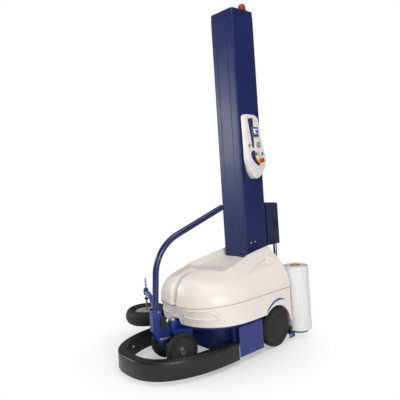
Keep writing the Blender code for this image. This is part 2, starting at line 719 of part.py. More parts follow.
edge = BELT_WIDTH / 2
belt_rows = [[(x, edge, z), (x, -edge, z), (u, -edge, w), (u, edge, w)]
             for (x, z), (u, w) in zip(belt_loop(BELT_INNER), belt_loop(BELT_INNER + BELT))]
paint(loft("lift_belt", belt_rows, machine, ring=True), "17171A", 0.8)

# ================================================================ control panel
# A moulded housing on a painted backing plate, screwed to the mast's left side.
CONSOLE_FRONT = MAST_FRONT + CONSOLE_IN_FRONT
CONSOLE_REAR = MAST_REAR - CONSOLE_IN_REAR
BACK_FACE = -MAST_HALF - FIT
HOUSING_FACE = BACK_FACE - CONSOLE_BACK - FIT


def console_outline(inset):
    """The panel's outline: square shoulders above, tapering to a rounded point below."""
    front = CONSOLE_FRONT + inset
    rear = CONSOLE_REAR - inset
    high = CONSOLE_HIGH - inset
    low = CONSOLE_LOW + inset
    outline = [(front, high - 0.020), (front + 0.012, high - 0.004), (front + 0.045, high),
               (rear - 0.075, high - 0.004), (rear - 0.045, high - 0.022), (rear - 0.034, high - 0.060),
               (rear - 0.028, high - 0.200), (rear, high - 0.330), (rear, high - 0.400),
               (rear - 0.014, high - 0.440), (rear - 0.085, low + 0.012), (rear - 0.120, low),
               (front + 0.062, low + 0.010), (front + 0.030, low + 0.060), (front + 0.006, low + 0.150)]
    return outline


def console_depth(z):
    run = (CONSOLE_HIGH - z) / (CONSOLE_HIGH - CONSOLE_LOW)
    return HOUSING_FACE - CONSOLE_THIN - (CONSOLE_THICK - CONSOLE_THIN) * min(max(run, 0), 1) ** 0.8


def console_ring(inset, lift):
    return [(x, console_depth(z) + lift, z) for x, z in console_outline(inset)]


housing = loft("panel_housing", [
    [(x, HOUSING_FACE, z) for x, z in console_outline(0)],
    console_ring(0, 0.010), console_ring(0.008, 0.0),
    ], machine)
hollow = loft("housing_room", [
    [(x, HOUSING_FACE + 0.001, z) for x, z in console_outline(CONSOLE_WALL)],
    console_ring(CONSOLE_WALL, 0.010), console_ring(0.008 + CONSOLE_WALL, CONSOLE_WALL)], machine)
cut(housing, hollow)
backing = prism("panel_back", console_outline(0.006), HOUSING_FACE + FIT, BACK_FACE, machine, "Y")
paint(backing, "454C85", 0.4)

def on_console(back, down):
    """A control's centre, from the panel's front and top edges."""
    return (CONSOLE_FRONT + back, CONSOLE_HIGH - down)


DISPLAY = on_console(0.110, 0.146)
KEYPAD = on_console(0.136, 0.251)
BUTTONS = (("start_button", on_console(0.100, 0.324), "2E8B3A"),
           ("reset_button", on_console(0.135, 0.324), "E8E8E4"),
           ("mode_button", on_console(0.170, 0.324), "2B56B0"))
ESTOP = on_console(0.136, 0.378)
KEY = on_console(0.024, 0.256)
DISPLAY_HALF = (0.038, 0.041)
KEYPAD_R = 0.026
COLLAR_R = 0.025
KEY_R = 0.010
TRIM = 0.006


def face_at(x, z, reach):
    """The outermost depth of the housing's face within `reach` below a point."""
    return console_depth(z - reach) - 0.0005


def bezel(name, x, z, half_x, half_z, code, rough):
    face = face_at(x, z, half_z)
    plate = box(name, (x - half_x, face - TRIM, z - half_z), (x + half_x, face, z + half_z), machine)
    stem = box("stem", (x - half_x * 0.8, face - 0.001, z - half_z * 0.8),
               (x + half_x * 0.8, HOUSING_FACE - CONSOLE_THIN * 0.4, z + half_z * 0.8), machine)
    add(plate, stem)
    cut(housing, box("window", (x - half_x * 0.8 - FIT, face - 0.1, z - half_z * 0.8 - FIT),
                     (x + half_x * 0.8 + FIT, HOUSING_FACE - CONSOLE_THIN * 0.2,
                      z + half_z * 0.8 + FIT), machine))
    return paint(plate, code, rough)


bezel("display", *DISPLAY, *DISPLAY_HALF, "2B2F36", 0.3)
pad_face = face_at(*KEYPAD, KEYPAD_R)
keypad = lathe("keypad", [(0.004, pad_face + 0.020), (KEYPAD_R - 0.006, pad_face + 0.020),
                          (KEYPAD_R - 0.006, pad_face), (KEYPAD_R, pad_face),
                          (KEYPAD_R, pad_face - TRIM / 2), (0.004, pad_face - TRIM / 2)],
               machine, "Y", (KEYPAD[0], 0, KEYPAD[1]), 24)
paint(keypad, "77787B", 0.5)
cut(housing, rod("pad_hole", KEYPAD_R - 0.006 + FIT, pad_face - 0.02, HOUSING_FACE - 0.004, machine,
                 "Y",
                 (KEYPAD[0], 0, KEYPAD[1]), 24))


def plunger(name, x, z, radius, stand, code, head=None):
    """A round button whose skirt slides in a hole through the housing."""
    face = face_at(x, z, radius)
    axis = empty(name + "_axis", (x, face, z), machine)
    wide = head or radius
    rim = stand + (0.012 if head else 0.001)
    top = stand + (0.018 if head else 0.002)
    profile = [(0.001, 0.024), (radius, 0.024), (radius, -stand), (wide, -stand),
               (wide, -rim), (wide * 0.7, -top), (0.001, -top)]
    button = lathe(name, profile, axis, "Y", steps=16)
    cut(housing, rod("hole", radius + BUTTON_GAP, face - 0.02, HOUSING_FACE - 0.004, machine, "Y",
                     (x, 0, z), 20))
    paint(button, code, 0.35)
    return face


for name, place, code in BUTTONS:
    plunger(name, *place, BUTTON_R, BUTTON_TRAVEL + 0.002, code)
stop_face = plunger("estop_mushroom", *ESTOP, 0.008, ESTOP_TRAVEL + 0.014, "C81E1E", 0.019)
collar = lathe("estop_collar", [(0.010, stop_face - 0.010), (0.010, stop_face - FIT),
                                (COLLAR_R, stop_face - FIT),
                                (COLLAR_R, stop_face - 0.004), (0.016, stop_face - 0.010)], machine,
                                "Y",
               (ESTOP[0], 0, ESTOP[1]), 24)
paint(collar, "E6C21A", 0.4)
key_face = face_at(*KEY, KEY_R)
key_axis = empty("key_axis", (KEY[0], key_face, KEY[1]), machine)
key = lathe("key_switch", [(0.001, 0.020), (KEY_R - 0.003, 0.020), (KEY_R - 0.003, -FIT), (KEY_R, -FIT),
                           (KEY_R, -0.005), (0.001, -0.005)], key_axis, "Y", steps=16)
add(key, box("grip", (-0.0015, -0.022, -0.011), (0.0015, -0.004, 0.011), key_axis))
paint(key, "8E8E90", 0.35, 0.8)
cut(housing, rod("key_hole", KEY_R - 0.003 + BUTTON_GAP, key_face - 0.02, HOUSING_FACE - 0.004,
                 machine, "Y",
                 (KEY[0], 0, KEY[1]), 20))
paint(housing, "EDEAE6", 0.4)

# ================================================================ steering
# Everything on the steering axis: X runs back from the axis, and the bogie, tiller and
# feeler arm turn together.  At rest it stands at its right-hand stop.
steer = empty("steering_axis", (STEER_X, 0, 0), machine, STEER_REST)
CROWN_FRONT = -0.036
CROWN_BACK = 0.112
LEG_FOOT = 0.032
bogie = box("steering_bogie", (CROWN_FRONT, -BOGIE_HALF, CROWN_Z),
            (CROWN_BACK, BOGIE_HALF, CROWN_Z + CROWN), steer)
for _, hand in SIDES:
    near, far = sorted((hand * (BOGIE_HALF - BOGIE_LEG), hand * BOGIE_HALF))
    leg = prism("leg", [(CROWN_FRONT, CROWN_Z + CROWN / 2), (CROWN_FRONT, FRONT_R),
                        (-LEG_FOOT, FRONT_R - LEG_FOOT),
                        (LEG_FOOT, FRONT_R - LEG_FOOT), (CROWN_BACK, CROWN_Z - LEG_FOOT),
                        (CROWN_BACK, CROWN_Z + CROWN / 2)], near, far, steer, "Y")
    add(bogie, leg)
cut(bogie, rod("bogie_bore", AXLE_R + RUN, -BOGIE_HALF * 1.2, BOGIE_HALF * 1.2, steer, "Y",
               (0, 0, FRONT_R), 16))
cut(bogie, rod("spindle_bore", SPINDLE_R + FIT, CROWN_Z - CROWN, CROWN_Z + 2 * CROWN, steer, steps=24))
paint(bogie, "22356F", 0.45)
spindle = lathe("steering_spindle", [
    (0.004, CROWN_Z - 0.014), (SPINDLE_R + 0.010, CROWN_Z - 0.014), (SPINDLE_R + 0.010, CROWN_Z - FIT),
    (SPINDLE_R, CROWN_Z - FIT), (SPINDLE_R, HEAD_TOP + FIT), (SPINDLE_R + 0.012, HEAD_TOP + FIT),
    (SPINDLE_R + 0.012, HEAD_TOP + 0.014), (0.004, HEAD_TOP + 0.014)], steer, steps=24)
paint(spindle, "9A9CA0", 0.35, 0.9)

WHEEL_INNER = FRONT_TRACK - FRONT_WIDTH / 2
axle = rod("front_axle", AXLE_R, -FRONT_TRACK - FRONT_WIDTH / 2 - 0.004,
           FRONT_TRACK + FRONT_WIDTH / 2 + 0.004,
           steer, "Y", (0, 0, FRONT_R), 16)
paint(axle, "8A8C90", 0.35, 0.9)
for name, hand in SIDES:
    axis = empty("front_wheel_axis_" + name, (0, 0, FRONT_R), steer)
    inner = hand * WHEEL_INNER
    outer = hand * (WHEEL_INNER + FRONT_WIDTH)
    soft = hand * 0.008
    tyre = lathe("front_tyre_" + name, [
        (FRONT_RIM_R + FIT, inner + soft / 2), (FRONT_R - 0.012, inner),
        (FRONT_R - 0.003, inner + soft),
        (FRONT_R, inner + 2 * soft), (FRONT_R, outer - 2 * soft), (FRONT_R - 0.003, outer - soft),
        (FRONT_R - 0.012, outer), (FRONT_RIM_R + FIT, outer - soft / 2)], axis, "Y", steps=24)
    paint(tyre, "1A191A", 0.7)
    centre = (inner + outer) / 2
    web = hand * 0.005
    rim = lathe("front_hub_" + name, [
        (AXLE_R + RUN, inner), (0.024, inner), (0.026, centre - web),
        (FRONT_RIM_R - 0.010, centre - web),
        (FRONT_RIM_R, inner + soft), (FRONT_RIM_R, outer - soft), (FRONT_RIM_R - 0.010, centre + web),
        (0.030, centre + web), (0.026, outer), (AXLE_R + RUN, outer)], axis, "Y", steps=24)
    paint(rim, "232122", 0.5)

# ---------------------------------------------------------------- tiller
# A folded channel is bolted to the front of the bogie's crown and holds the bent tube.
PLATE_HALF = TILLER_R + FIT + TILLER_PLATE
PLATE_BACK = CROWN_FRONT - FIT
PLATE_FRONT = TILLER_FOOT_X - TILLER_R - TILLER_PLATE


def plate_outline(wall):
    """Side view of the channel: a tall neck, a wide belly and a low toe."""
    return [(PLATE_FRONT + wall, 0.410 + 2 * wall), (PLATE_BACK - 0.062 + 3 * wall, 0.405 + 2 * wall),
            (PLATE_BACK - 0.056 + 3 * wall, 0.345), (PLATE_BACK + 3 * wall, 0.258),
            (PLATE_BACK + 3 * wall, 0.205),
            (PLATE_BACK - 0.008 + 3 * wall, 0.072 - 2 * wall),
            (PLATE_BACK - 0.100 + wall, 0.186 + wall),
            (PLATE_FRONT + wall, 0.243)]


channel = prism("tiller_plate", plate_outline(0), -PLATE_HALF, PLATE_HALF, steer, "Y")
room = prism("channel_room", plate_outline(TILLER_PLATE), TILLER_PLATE - PLATE_HALF,
             PLATE_HALF - TILLER_PLATE,
             steer, "Y")
cut(channel, room)
paint(channel, "22356F", 0.45)

TUBE_FOOT_Z = 0.280
BEND_Z = 0.645
BEND_R = 0.310
LEAN = math.radians(4.5)
RISE = math.radians(22.3)
TILLER_REACH = 0.434
path = [(TILLER_FOOT_X, 0, TUBE_FOOT_Z), (TILLER_FOOT_X + (BEND_Z - TUBE_FOOT_Z) * math.tan(LEAN), 0,
                                          BEND_Z)]
bend_from = math.pi / 2 - LEAN
bend_centre = (path[-1][0] + BEND_R * math.cos(LEAN), path[-1][2] - BEND_R * math.sin(LEAN))
for step in range(1, 7):
    angle = math.pi - LEAN - (bend_from - RISE) * step / 6
    path.append((bend_centre[0] + BEND_R * math.cos(angle), 0,
                 bend_centre[1] + BEND_R * math.sin(angle)))
end = path[-1]
path.append((end[0] + TILLER_REACH * math.cos(RISE), 0, end[2] + TILLER_REACH * math.sin(RISE)))
TUBE_STEPS = 12
handle = sweep("tiller_tube", path, circle(TILLER_R, TUBE_STEPS), steer)
bore = sweep("tiller_room", [(path[0][0], 0, path[0][2] - 0.01)] + path[1:-1]
             + [(path[-1][0] + 0.01 * math.cos(RISE), 0, path[-1][2] + 0.01 * math.sin(RISE))],
             circle(TILLER_R - TILLER_WALL, TUBE_STEPS), steer)
cut(handle, bore)
paint(handle, "22356F", 0.4)
tip = empty("tiller_tip", path[-1], steer)
tip.rotation_euler = (0, math.pi / 2 - RISE, 0)
PLUG_R = (TILLER_R - TILLER_WALL) * math.cos(math.pi / TUBE_STEPS) - FIT
end_cap = lathe("tiller_end_cap", [
    (0.002, -0.020), (PLUG_R, -0.020), (PLUG_R, FIT), (TILLER_R, FIT),
    (TILLER_R, 0.008), (TILLER_R - 0.005, 0.013), (0.002, 0.013)], tip, steps=24)
paint(end_cap, "161618", 0.6)

ROD_Y = -PLATE_HALF - ROD_R - FIT
ROD_Z = 0.194
ROD_HEAD_X = PLATE_BACK - 0.074
tie = rod("tie_rod", ROD_R, ROD_HEAD_X - 0.010, 0.035, steer, "X", (0, ROD_Y, ROD_Z), 16)
tie_head = rod("tie_head", ROD_R * 1.6, ROD_Y - 0.012, -PLATE_HALF - FIT, steer, "Y",
               (ROD_HEAD_X, 0, ROD_Z), 16)
tie_tail = box("tie_tail", (0.020, -BOGIE_HALF + BOGIE_LEG + FIT, ROD_Z - 0.006),
               (0.034, ROD_Y, ROD_Z + 0.006), steer)
add(tie, tie_head, tie_tail)
paint(tie, "77787C", 0.4, 0.8)

# ================================================================ feeler wheel
# A pneumatic tyre on a spoked rim turns on a threaded rod, which hangs in the arm's
# sleeve by its upper collar and can float up until the lower collar meets the sleeve.
ARM_FOOT_Z = 0.425
tube_x = TILLER_FOOT_X + (ARM_FOOT_Z - TUBE_FOOT_Z) * math.tan(LEAN)
arm_path = [(tube_x, TILLER_R + FIT, ARM_FOOT_Z), (tube_x, TILLER_R + 0.012, ARM_FOOT_Z),
            (tube_x + 0.010, 0.075, ARM_FOOT_Z + 0.014), (tube_x + 0.034, 0.150, ARM_FOOT_Z + 0.022),
            (tube_x + 0.064, 0.240, ARM_FOOT_Z + 0.018), (tube_x + 0.098, 0.340, ARM_FOOT_Z + 0.004),
            (tube_x + 0.128, 0.430, ARM_FOOT_Z - 0.014), (FEELER_X, FEELER_Y, ARM_Z),
            (FEELER_X + 0.024, FEELER_Y + 0.075, ARM_Z - 0.010)]
arm = sweep("feeler_arm", arm_path, circle(ARM_R), steer, side=(1, 0, 0))
SLEEVE_HALF = 0.020
add(arm, rod("arm_sleeve", SLEEVE_R + 0.004, ARM_Z - SLEEVE_HALF, ARM_Z + SLEEVE_HALF, steer,
             at=(FEELER_X, FEELER_Y, 0), steps=16))
cut(arm, rod("sleeve_bore", FEELER_ROD_R + RUN, ARM_Z - 2 * SLEEVE_HALF, ARM_Z + 2 * SLEEVE_HALF, steer,
             at=(FEELER_X, FEELER_Y, 0), steps=16))
paint(arm, "2C4E9E", 0.4)

feeler = empty("feeler_float_axis", (FEELER_X, FEELER_Y, 0), steer)
feeler_rod = lathe("feeler_rod", [
    (0.001, FEELER_Z - 0.038), (FEELER_ROD_R + 0.006, FEELER_Z - 0.038),
    (FEELER_ROD_R + 0.006, FEELER_Z - 0.032),
    (FEELER_ROD_R, FEELER_Z - 0.032), (FEELER_ROD_R, FEELER_ROD_TOP), (0.001, FEELER_ROD_TOP)], feeler,
    steps=16)
paint(feeler_rod, "9DA0A3", 0.35, 0.9)
upper_z = ARM_Z + SLEEVE_HALF + FIT
lower_z = ARM_Z - SLEEVE_HALF - FLOAT - COLLAR - FIT
for name, z in (("feeler_collar_upper", upper_z), ("feeler_collar_lower", lower_z)):
    ring = lathe(name, tube(FEELER_ROD_R + 0.008, 0.008 - FIT, z, z + COLLAR), feeler, steps=16)
    paint(ring, "55585C", 0.4, 0.8)
wheel = empty("feeler_wheel_axis", (0, 0, FEELER_Z), feeler)
half = FEELER_WIDTH / 2
profile = []
for step in range(7):
    angle = math.pi * (step / 6 - 0.5)
    profile.append((FEELER_R - 0.040 + 0.040 * math.cos(angle), half * math.sin(angle)))
profile.append((FEELER_RIM_R + 0.004, half * 0.80))
profile.append((FEELER_RIM_R + FIT, half * 0.62))
profile.append((FEELER_RIM_R + FIT, -half * 0.62))
profile.append((FEELER_RIM_R + 0.004, -half * 0.80))
paint(lathe("feeler_tyre", profile, wheel, steps=24), "2B292A", 0.75)
hub_half = 0.030
rim = lathe("feeler_rim", [
    (FEELER_RIM_R - 0.006, -half * 0.6), (FEELER_RIM_R, -half * 0.6), (FEELER_RIM_R, half * 0.6),
    (FEELER_RIM_R - 0.006, half * 0.6)], wheel, steps=24)
add(rim, lathe("rim_hub", tube(0.020, 0.020 - FEELER_ROD_R - RUN, -hub_half, hub_half), wheel,
               steps=16))
for spoke in range(8):
    angle = 2 * math.pi * spoke / 8
    bar = box("spoke", (0.016, -0.006, -0.006), (FEELER_RIM_R - 0.003, 0.006, 0.008), wheel)
    bar.rotation_euler = (0, 0, angle)
    add(rim, bar)
paint(rim, "C9CACB", 0.4, 0.3)

# ================================================================ bumper
# A black moulded skin with a top flange over a steel band; the band's two arms slide
# in the chassis's sleeves, and the gap behind the skin is the safety travel.
bumper = empty("bumper_axis", (0, 0, 0), machine)


def bumper_plan(inset):
    return plan(inset, BUMPER_HALF - inset, BUMPER_LENGTH - inset, BUMPER_POWER, BUMPER_REAR)


BUMPER_EDGE = 0.006     # bevel round the top outer edge
skin_rows = []
for outer, bevel, middle, inner in zip(bumper_plan(0), bumper_plan(BUMPER_EDGE),
                                       bumper_plan(BUMPER_WALL),
                                       bumper_plan(BUMPER_DEPTH)):
    skin_rows.append([(*outer, BUMPER_BOTTOM), (*outer, BUMPER_TOP - BUMPER_EDGE), (*bevel, BUMPER_TOP),
                      (*inner, BUMPER_TOP), (*inner, BUMPER_TOP - BUMPER_WALL),
                      (*middle, BUMPER_TOP - BUMPER_WALL), (*middle, BUMPER_BOTTOM)])
paint(loft("bumper_skin", skin_rows, bumper), "1C1A1C", 0.6)
band_top = BUMPER_TOP - BUMPER_WALL - FIT
band_rows = []
for outer, inner in zip(bumper_plan(BUMPER_DEPTH - BAND), bumper_plan(BUMPER_DEPTH)):
    band_rows.append([(*outer, BUMPER_BOTTOM + 0.010), (*outer, band_top), (*inner, band_top),
                      (*inner, BUMPER_BOTTOM + 0.010)])
band = loft("bumper_band", band_rows, bumper)
for _, hand in SIDES:
    y = hand * GUIDE_Y
    add(band, box("guide_arm", (BUMPER_REAR - 0.120, y - GUIDE_W / 2, GUIDE_Z),
                  (GUIDE_REAR, y + GUIDE_W / 2, GUIDE_Z + GUIDE_H), bumper))
    weld = sorted((y, hand * (BUMPER_HALF - BUMPER_DEPTH + BAND / 2)))
    add(band, box("guide_weld", (BUMPER_REAR - 0.110, weld[0], GUIDE_Z + 0.004),
                  (BUMPER_REAR - 0.030, weld[1], GUIDE_Z + GUIDE_H - 0.004), bumper))
paint(band, "1E2548", 0.5)

# ================================================================ rear bracket
# A small folded bracket behind the left wheel; its knob clamps the lowered carriage's
# cable for transport.
BRACKET_Y = -BODY_HALF
BRACKET_LOW = 0.024
BRACKET_HIGH = 0.060
BRACKET_FRONT = BODY_REAR - 0.043
BRACKET_REAR = BODY_REAR + 0.025
RAIL_SIDE = RAIL_HALF + RAIL_WIDTH / 2
bracket = box("rear_bracket", (BRACKET_FRONT, BRACKET_Y, BRACKET_LOW),
              (BRACKET_REAR, BRACKET_Y + SHEET, BRACKET_HIGH), machine)
add(bracket, box("bracket_top", (BRACKET_FRONT, BRACKET_Y, BRACKET_HIGH - SHEET),
                 (BRACKET_REAR, -RAIL_SIDE - FIT, BRACKET_HIGH), machine))
add(bracket, box("bracket_tab", (REAR_PLATE_X - FIT - SHEET, -RAIL_SIDE - PLATE, BRACKET_HIGH - SHEET),
                 (REAR_PLATE_X - FIT, -RAIL_HALF, BRACKET_HIGH + 0.040), machine))
paint(bracket, "31356F", 0.45)
KNOB_R = 0.020
KNOB_GAP = 0.003        # knob to the full roll
KNOB_X = REEL_X - REEL_R - KNOB_GAP - KNOB_R
KNOB_Y = KNOB_R - BODY_HALF
knob_axis = empty("lock_knob_axis", (KNOB_X, KNOB_Y, BRACKET_HIGH), machine)
cut(bracket, rod("knob_hole", 0.004 + RUN, BRACKET_HIGH - 0.02, BRACKET_HIGH + 0.02, machine,
                 at=(KNOB_X, KNOB_Y, 0), steps=16))
lobes = []
for step in range(20):
    angle = 2 * math.pi * step / 20
    radius = KNOB_R - 0.003 + 0.003 * math.cos(5 * angle)
    lobes.append((radius * math.cos(angle), radius * math.sin(angle)))
knob = prism("lock_knob", lobes, 0.026, 0.048, knob_axis)
add(knob, rod("knob_neck", 0.010, FIT, 0.030, knob_axis, steps=16),
    rod("knob_stud", 0.004, -0.012, 0.006, knob_axis, steps=16))
paint(knob, "141416", 0.5)

# ================================================================ film carriage
# Moves up and down the mast's back.  A back plate reaches through the slot to the belt,
# a cover hides the roller gears, and the roll stands on the low plate.
lift = empty("carriage_axis", (0, 0, 0), machine)
BACK_X = MAST_REAR + CARRIAGE_GAP
back = box("carriage_frame", (BACK_X, -CARRIAGE_HALF + 0.010, CARRIAGE_LOW),
           (BACK_X + PLATE, CARRIAGE_HALF - 0.010, BOX_HIGH - 0.010), lift)
for z in (0.340, 0.840):
    neck_half = SLOT_HALF - 0.004
    head_x = MAST_REAR - MAST_WALL
    add(back, box("neck", (head_x - 0.050, -neck_half, z), (BACK_X + PLATE / 2, neck_half, z + 0.060),
                  lift))
    add(back, box("shoe", (head_x - 0.035, -neck_half - 0.030, z),
                  (head_x - 0.004, neck_half + 0.030, z + 0.060), lift))
belt_face = PULLEY_X + BELT_INNER + BELT
add(back, box("belt_clamp", (belt_face + 0.0006, -BELT_WIDTH / 2, 0.845),
              (head_x - 0.030, BELT_WIDTH / 2, 0.895), lift))
TABLE_R = REEL_R - 0.026
table = [(BACK_X, CARRIAGE_HALF - 0.010), (BACK_X, REEL_Y + TABLE_R * 0.6)]
for step in range(13):
    angle = math.pi * (0.80 + 1.1 * step / 12)
    table.append((REEL_X + TABLE_R * math.cos(angle), REEL_Y + TABLE_R * math.sin(angle)))
table += [(CARRIAGE_REAR - 0.020, -CARRIAGE_HALF), (CARRIAGE_REAR - 0.020, CARRIAGE_HALF - 0.010)]
table_top = CARRIAGE_LOW + CARRIAGE_PLATE
add(back, prism("table", table, CARRIAGE_LOW, table_top, lift))
add(back, box("shelf", (BACK_X, -CARRIAGE_HALF + 0.010, BOX_LOW),
              (CARRIAGE_REAR - 0.010, CARRIAGE_HALF - 0.010, BOX_LOW + PLATE), lift))
for x, y, r in ((IDLE_X, IDLE_Y, 0.006), (DRIVE_ROLL_X, DRIVE_ROLL_Y, 0.008)):
    cut(back, rod("roller_bore", r + RUN, table_top - 0.008, BOX_LOW + 2 * PLATE, lift, at=(x, y, 0),
                  steps=16))
cut(back, rod("spindle_bore", 0.010 + RUN, table_top - 0.008, table_top + 0.02, lift,
              at=(REEL_X, REEL_Y, 0), steps=16))
paint(back, "2B3560", 0.45)

cover = box("carriage_cover", (BACK_X + PLATE + FIT, -CARRIAGE_HALF, BOX_LOW),
            (CARRIAGE_REAR, CARRIAGE_HALF, BOX_HIGH), lift)
cut(cover, box("cover_room", (BACK_X, -CARRIAGE_HALF + 0.010 - FIT, BOX_LOW - 0.1),
               (CARRIAGE_REAR - 0.010 + FIT, CARRIAGE_HALF - 0.010 + FIT, BOX_HIGH - BOX_WALL * 2),
               lift))
paint(cover, "2C3358", 0.45)

ROLL_LOW = table_top + 0.003
ROLL_HIGH = BOX_LOW - 0.003
for name, x, y, radius, pin, code in (("idle_roller", IDLE_X, IDLE_Y, IDLE_R, 0.006, "8F9194"),
                                      ("drive_roller", DRIVE_ROLL_X, DRIVE_ROLL_Y, DRIVE_ROLL_R, 0.008,
                                       "2A2A2C")):
    axis = empty(name + "_axis", (x, y, 0), lift)
    roller = lathe(name, [
        (0.001, table_top - 0.007), (pin, table_top - 0.007), (pin, ROLL_LOW), (radius, ROLL_LOW),
        (radius, ROLL_HIGH), (pin, ROLL_HIGH), (pin, BOX_LOW + PLATE), (0.001, BOX_LOW + PLATE)], axis,
        steps=24)
    paint(roller, code, 0.4, 0.8 if name == "idle_roller" else 0.0)

reel = empty("reel_axis", (REEL_X, REEL_Y, 0), lift)
SEAT = 0.006
reel_low = table_top + FIT + SEAT
spindle_r = CORE_R - CORE_WALL - FIT
paint(lathe("reel_spindle", [
    (0.001, table_top - 0.007), (0.010, table_top - 0.007), (0.010, table_top + FIT),
    (TABLE_R - 0.004, table_top + FIT),
    (TABLE_R - 0.004, reel_low), (spindle_r, reel_low), (spindle_r, reel_low + 0.120),
    (spindle_r - 0.012, reel_low + 0.140),
    (0.001, reel_low + 0.140)], reel, steps=24), "2A2B30", 0.4, 0.6)
core_low = reel_low + FIT
paint(lathe("film_core", tube(CORE_R, CORE_WALL, core_low, core_low + REEL_HEIGHT + 0.006), reel,
            steps=24), "A58B66", 0.8)
roll = lathe("film_roll", tube(REEL_R, REEL_R - CORE_R - FIT, core_low + 0.003,
                               core_low + REEL_HEIGHT), reel, steps=28)
paint(roll, "E9E9EC", 0.25)
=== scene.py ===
"""Looks of a self-propelled pallet-wrapping robot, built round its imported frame.

Metres, +Z up.  Inside the machine's own axes X runs back from the bumper's nose,
Y = 0 is the centre plane (the left side is -Y) and Z = 0 is the floor.
"""

import math

import bmesh
import bpy
from mathutils import Matrix, Vector


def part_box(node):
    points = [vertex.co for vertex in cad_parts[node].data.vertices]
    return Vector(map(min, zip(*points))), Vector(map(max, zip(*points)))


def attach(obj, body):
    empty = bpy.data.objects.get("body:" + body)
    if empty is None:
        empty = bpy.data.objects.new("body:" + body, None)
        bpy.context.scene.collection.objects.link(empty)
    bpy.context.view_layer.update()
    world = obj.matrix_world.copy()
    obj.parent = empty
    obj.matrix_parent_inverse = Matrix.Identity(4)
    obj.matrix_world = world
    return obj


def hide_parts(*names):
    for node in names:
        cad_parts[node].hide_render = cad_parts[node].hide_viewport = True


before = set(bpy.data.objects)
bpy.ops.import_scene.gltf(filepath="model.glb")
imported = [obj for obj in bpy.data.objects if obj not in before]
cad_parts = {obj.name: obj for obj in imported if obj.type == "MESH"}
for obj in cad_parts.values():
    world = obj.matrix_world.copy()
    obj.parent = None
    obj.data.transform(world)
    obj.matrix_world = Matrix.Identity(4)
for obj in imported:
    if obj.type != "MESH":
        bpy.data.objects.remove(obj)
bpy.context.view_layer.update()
nose_low, nose_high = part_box("bumper_skin")
MACHINE = Matrix.Translation((nose_low.x, (nose_low.y + nose_high.y) / 2, 0))
SIDES = (("left", -1), ("right", 1))


# ================================================================ chassis
# Laser-cut steel plate, folded, welded and powder-coated: a deck, a tub for the batteries,
# two axle rails, a rear plate and the steering head on its beam; the tub, the rails and their tie
# are navy, the rest cobalt blue.
def linear(code):
    """A paint chip's sRGB hex code in linear light."""
    steps = [int(code[start:start + 2], 16) / 255 for start in (0, 2, 4)]
    return [s / 12.92 if s <= 0.04045 else ((s + 0.055) / 1.055) ** 2.4 for s in steps] + [1.0]


def add(tree, kind, feed=None, **settings):
    """Adds a node with its settings; feed gives its sockets a value or a link."""
    made = tree.nodes.new("ShaderNode" + kind)
    for name, value in settings.items():
        setattr(made, name, value)
    for socket, value in (feed or {}).items():
        if isinstance(value, bpy.types.NodeSocket):
            tree.links.new(value, made.inputs[socket])
        else:
            made.inputs[socket].default_value = value
    return made


def finish(name, **sockets):
    """A new material; its even values sit on the shader's own sockets."""
    material = bpy.data.materials.new(name)
    material.use_nodes = True
    shader = material.node_tree.nodes["Principled BSDF"]
    for socket, value in sockets.items():
        shader.inputs[socket.replace("_", " ")].default_value = value
    return material, material.node_tree, shader


def surface(name, clean, soiled, rough, grain, relief, patch=120, uneven=0.05, **sockets):
    """A finish with a fine grain that catches light and broad patches of wear or dust.
    Grain and patch are the real pattern sizes in mm, relief is the grain's height in mm and
    uneven is how far the roughness wanders."""
    material, tree, shader = finish(name, **sockets)
    place = add(tree, "TexCoord").outputs["Object"]
    fine = add(tree, "TexNoise", {"Vector": place, "Scale": 1000 / grain, "Detail": 3.0})
    broad = add(tree, "TexNoise", {"Vector": place, "Scale": 1000 / patch, "Detail": 5.0,
                                   "Roughness": 0.6})
    worn = add(tree, "MapRange", {"Value": broad.outputs["Fac"], "From Min": 0.40, "From Max": 0.75,
                                  "To Max": 0.9}, interpolation_type="SMOOTHSTEP")
    tone = add(tree, "Mix", {0: worn.outputs[0], 6: linear(clean), 7: linear(soiled)},
               data_type="RGBA")
    gloss = add(tree, "MapRange", {"Value": broad.outputs["Fac"], "From Min": 0.3, "From Max": 0.7,
                                   "To Min": rough - uneven, "To Max": rough + uneven})
    bump = add(tree, "Bump", {"Height": fine.outputs["Fac"], "Distance": relief / 1000,
                              "Strength": 1.0})
    tree.links.new(tone.outputs[2], shader.inputs["Base Color"])
    tree.links.new(gloss.outputs[0], shader.inputs["Roughness"])
    tree.links.new(bump.outputs[0], shader.inputs["Normal"])
    return material


# Gloss powder coat shows a fine orange peel about 1.5 mm across, drawn at 4 mm to show.
powder_coat_cobalt = surface("powder_coated_steel_cobalt", "1C2F74", "263A80", 0.36, 4, 0.05,
                             IOR=1.5, Specular_IOR_Level=0.35, Coat_Weight=0.15, Coat_Roughness=0.2)
powder_coat_navy = surface("powder_coated_steel_navy", "161F4A", "1D2858", 0.42, 4, 0.05,
                           IOR=1.5, Specular_IOR_Level=0.3)


def round_edges(work, radius):
    """Breaks each sharp edge with a small radius, as a deburred or moulded edge has."""
    sharp = [edge for edge in work.edges
             if edge.is_manifold and edge.calc_face_angle(0) > math.radians(32)]
    bmesh.ops.bevel(work, geom=sharp, offset=radius, segments=2, profile=0.5, affect="EDGES",
                    clamp_overlap=True)


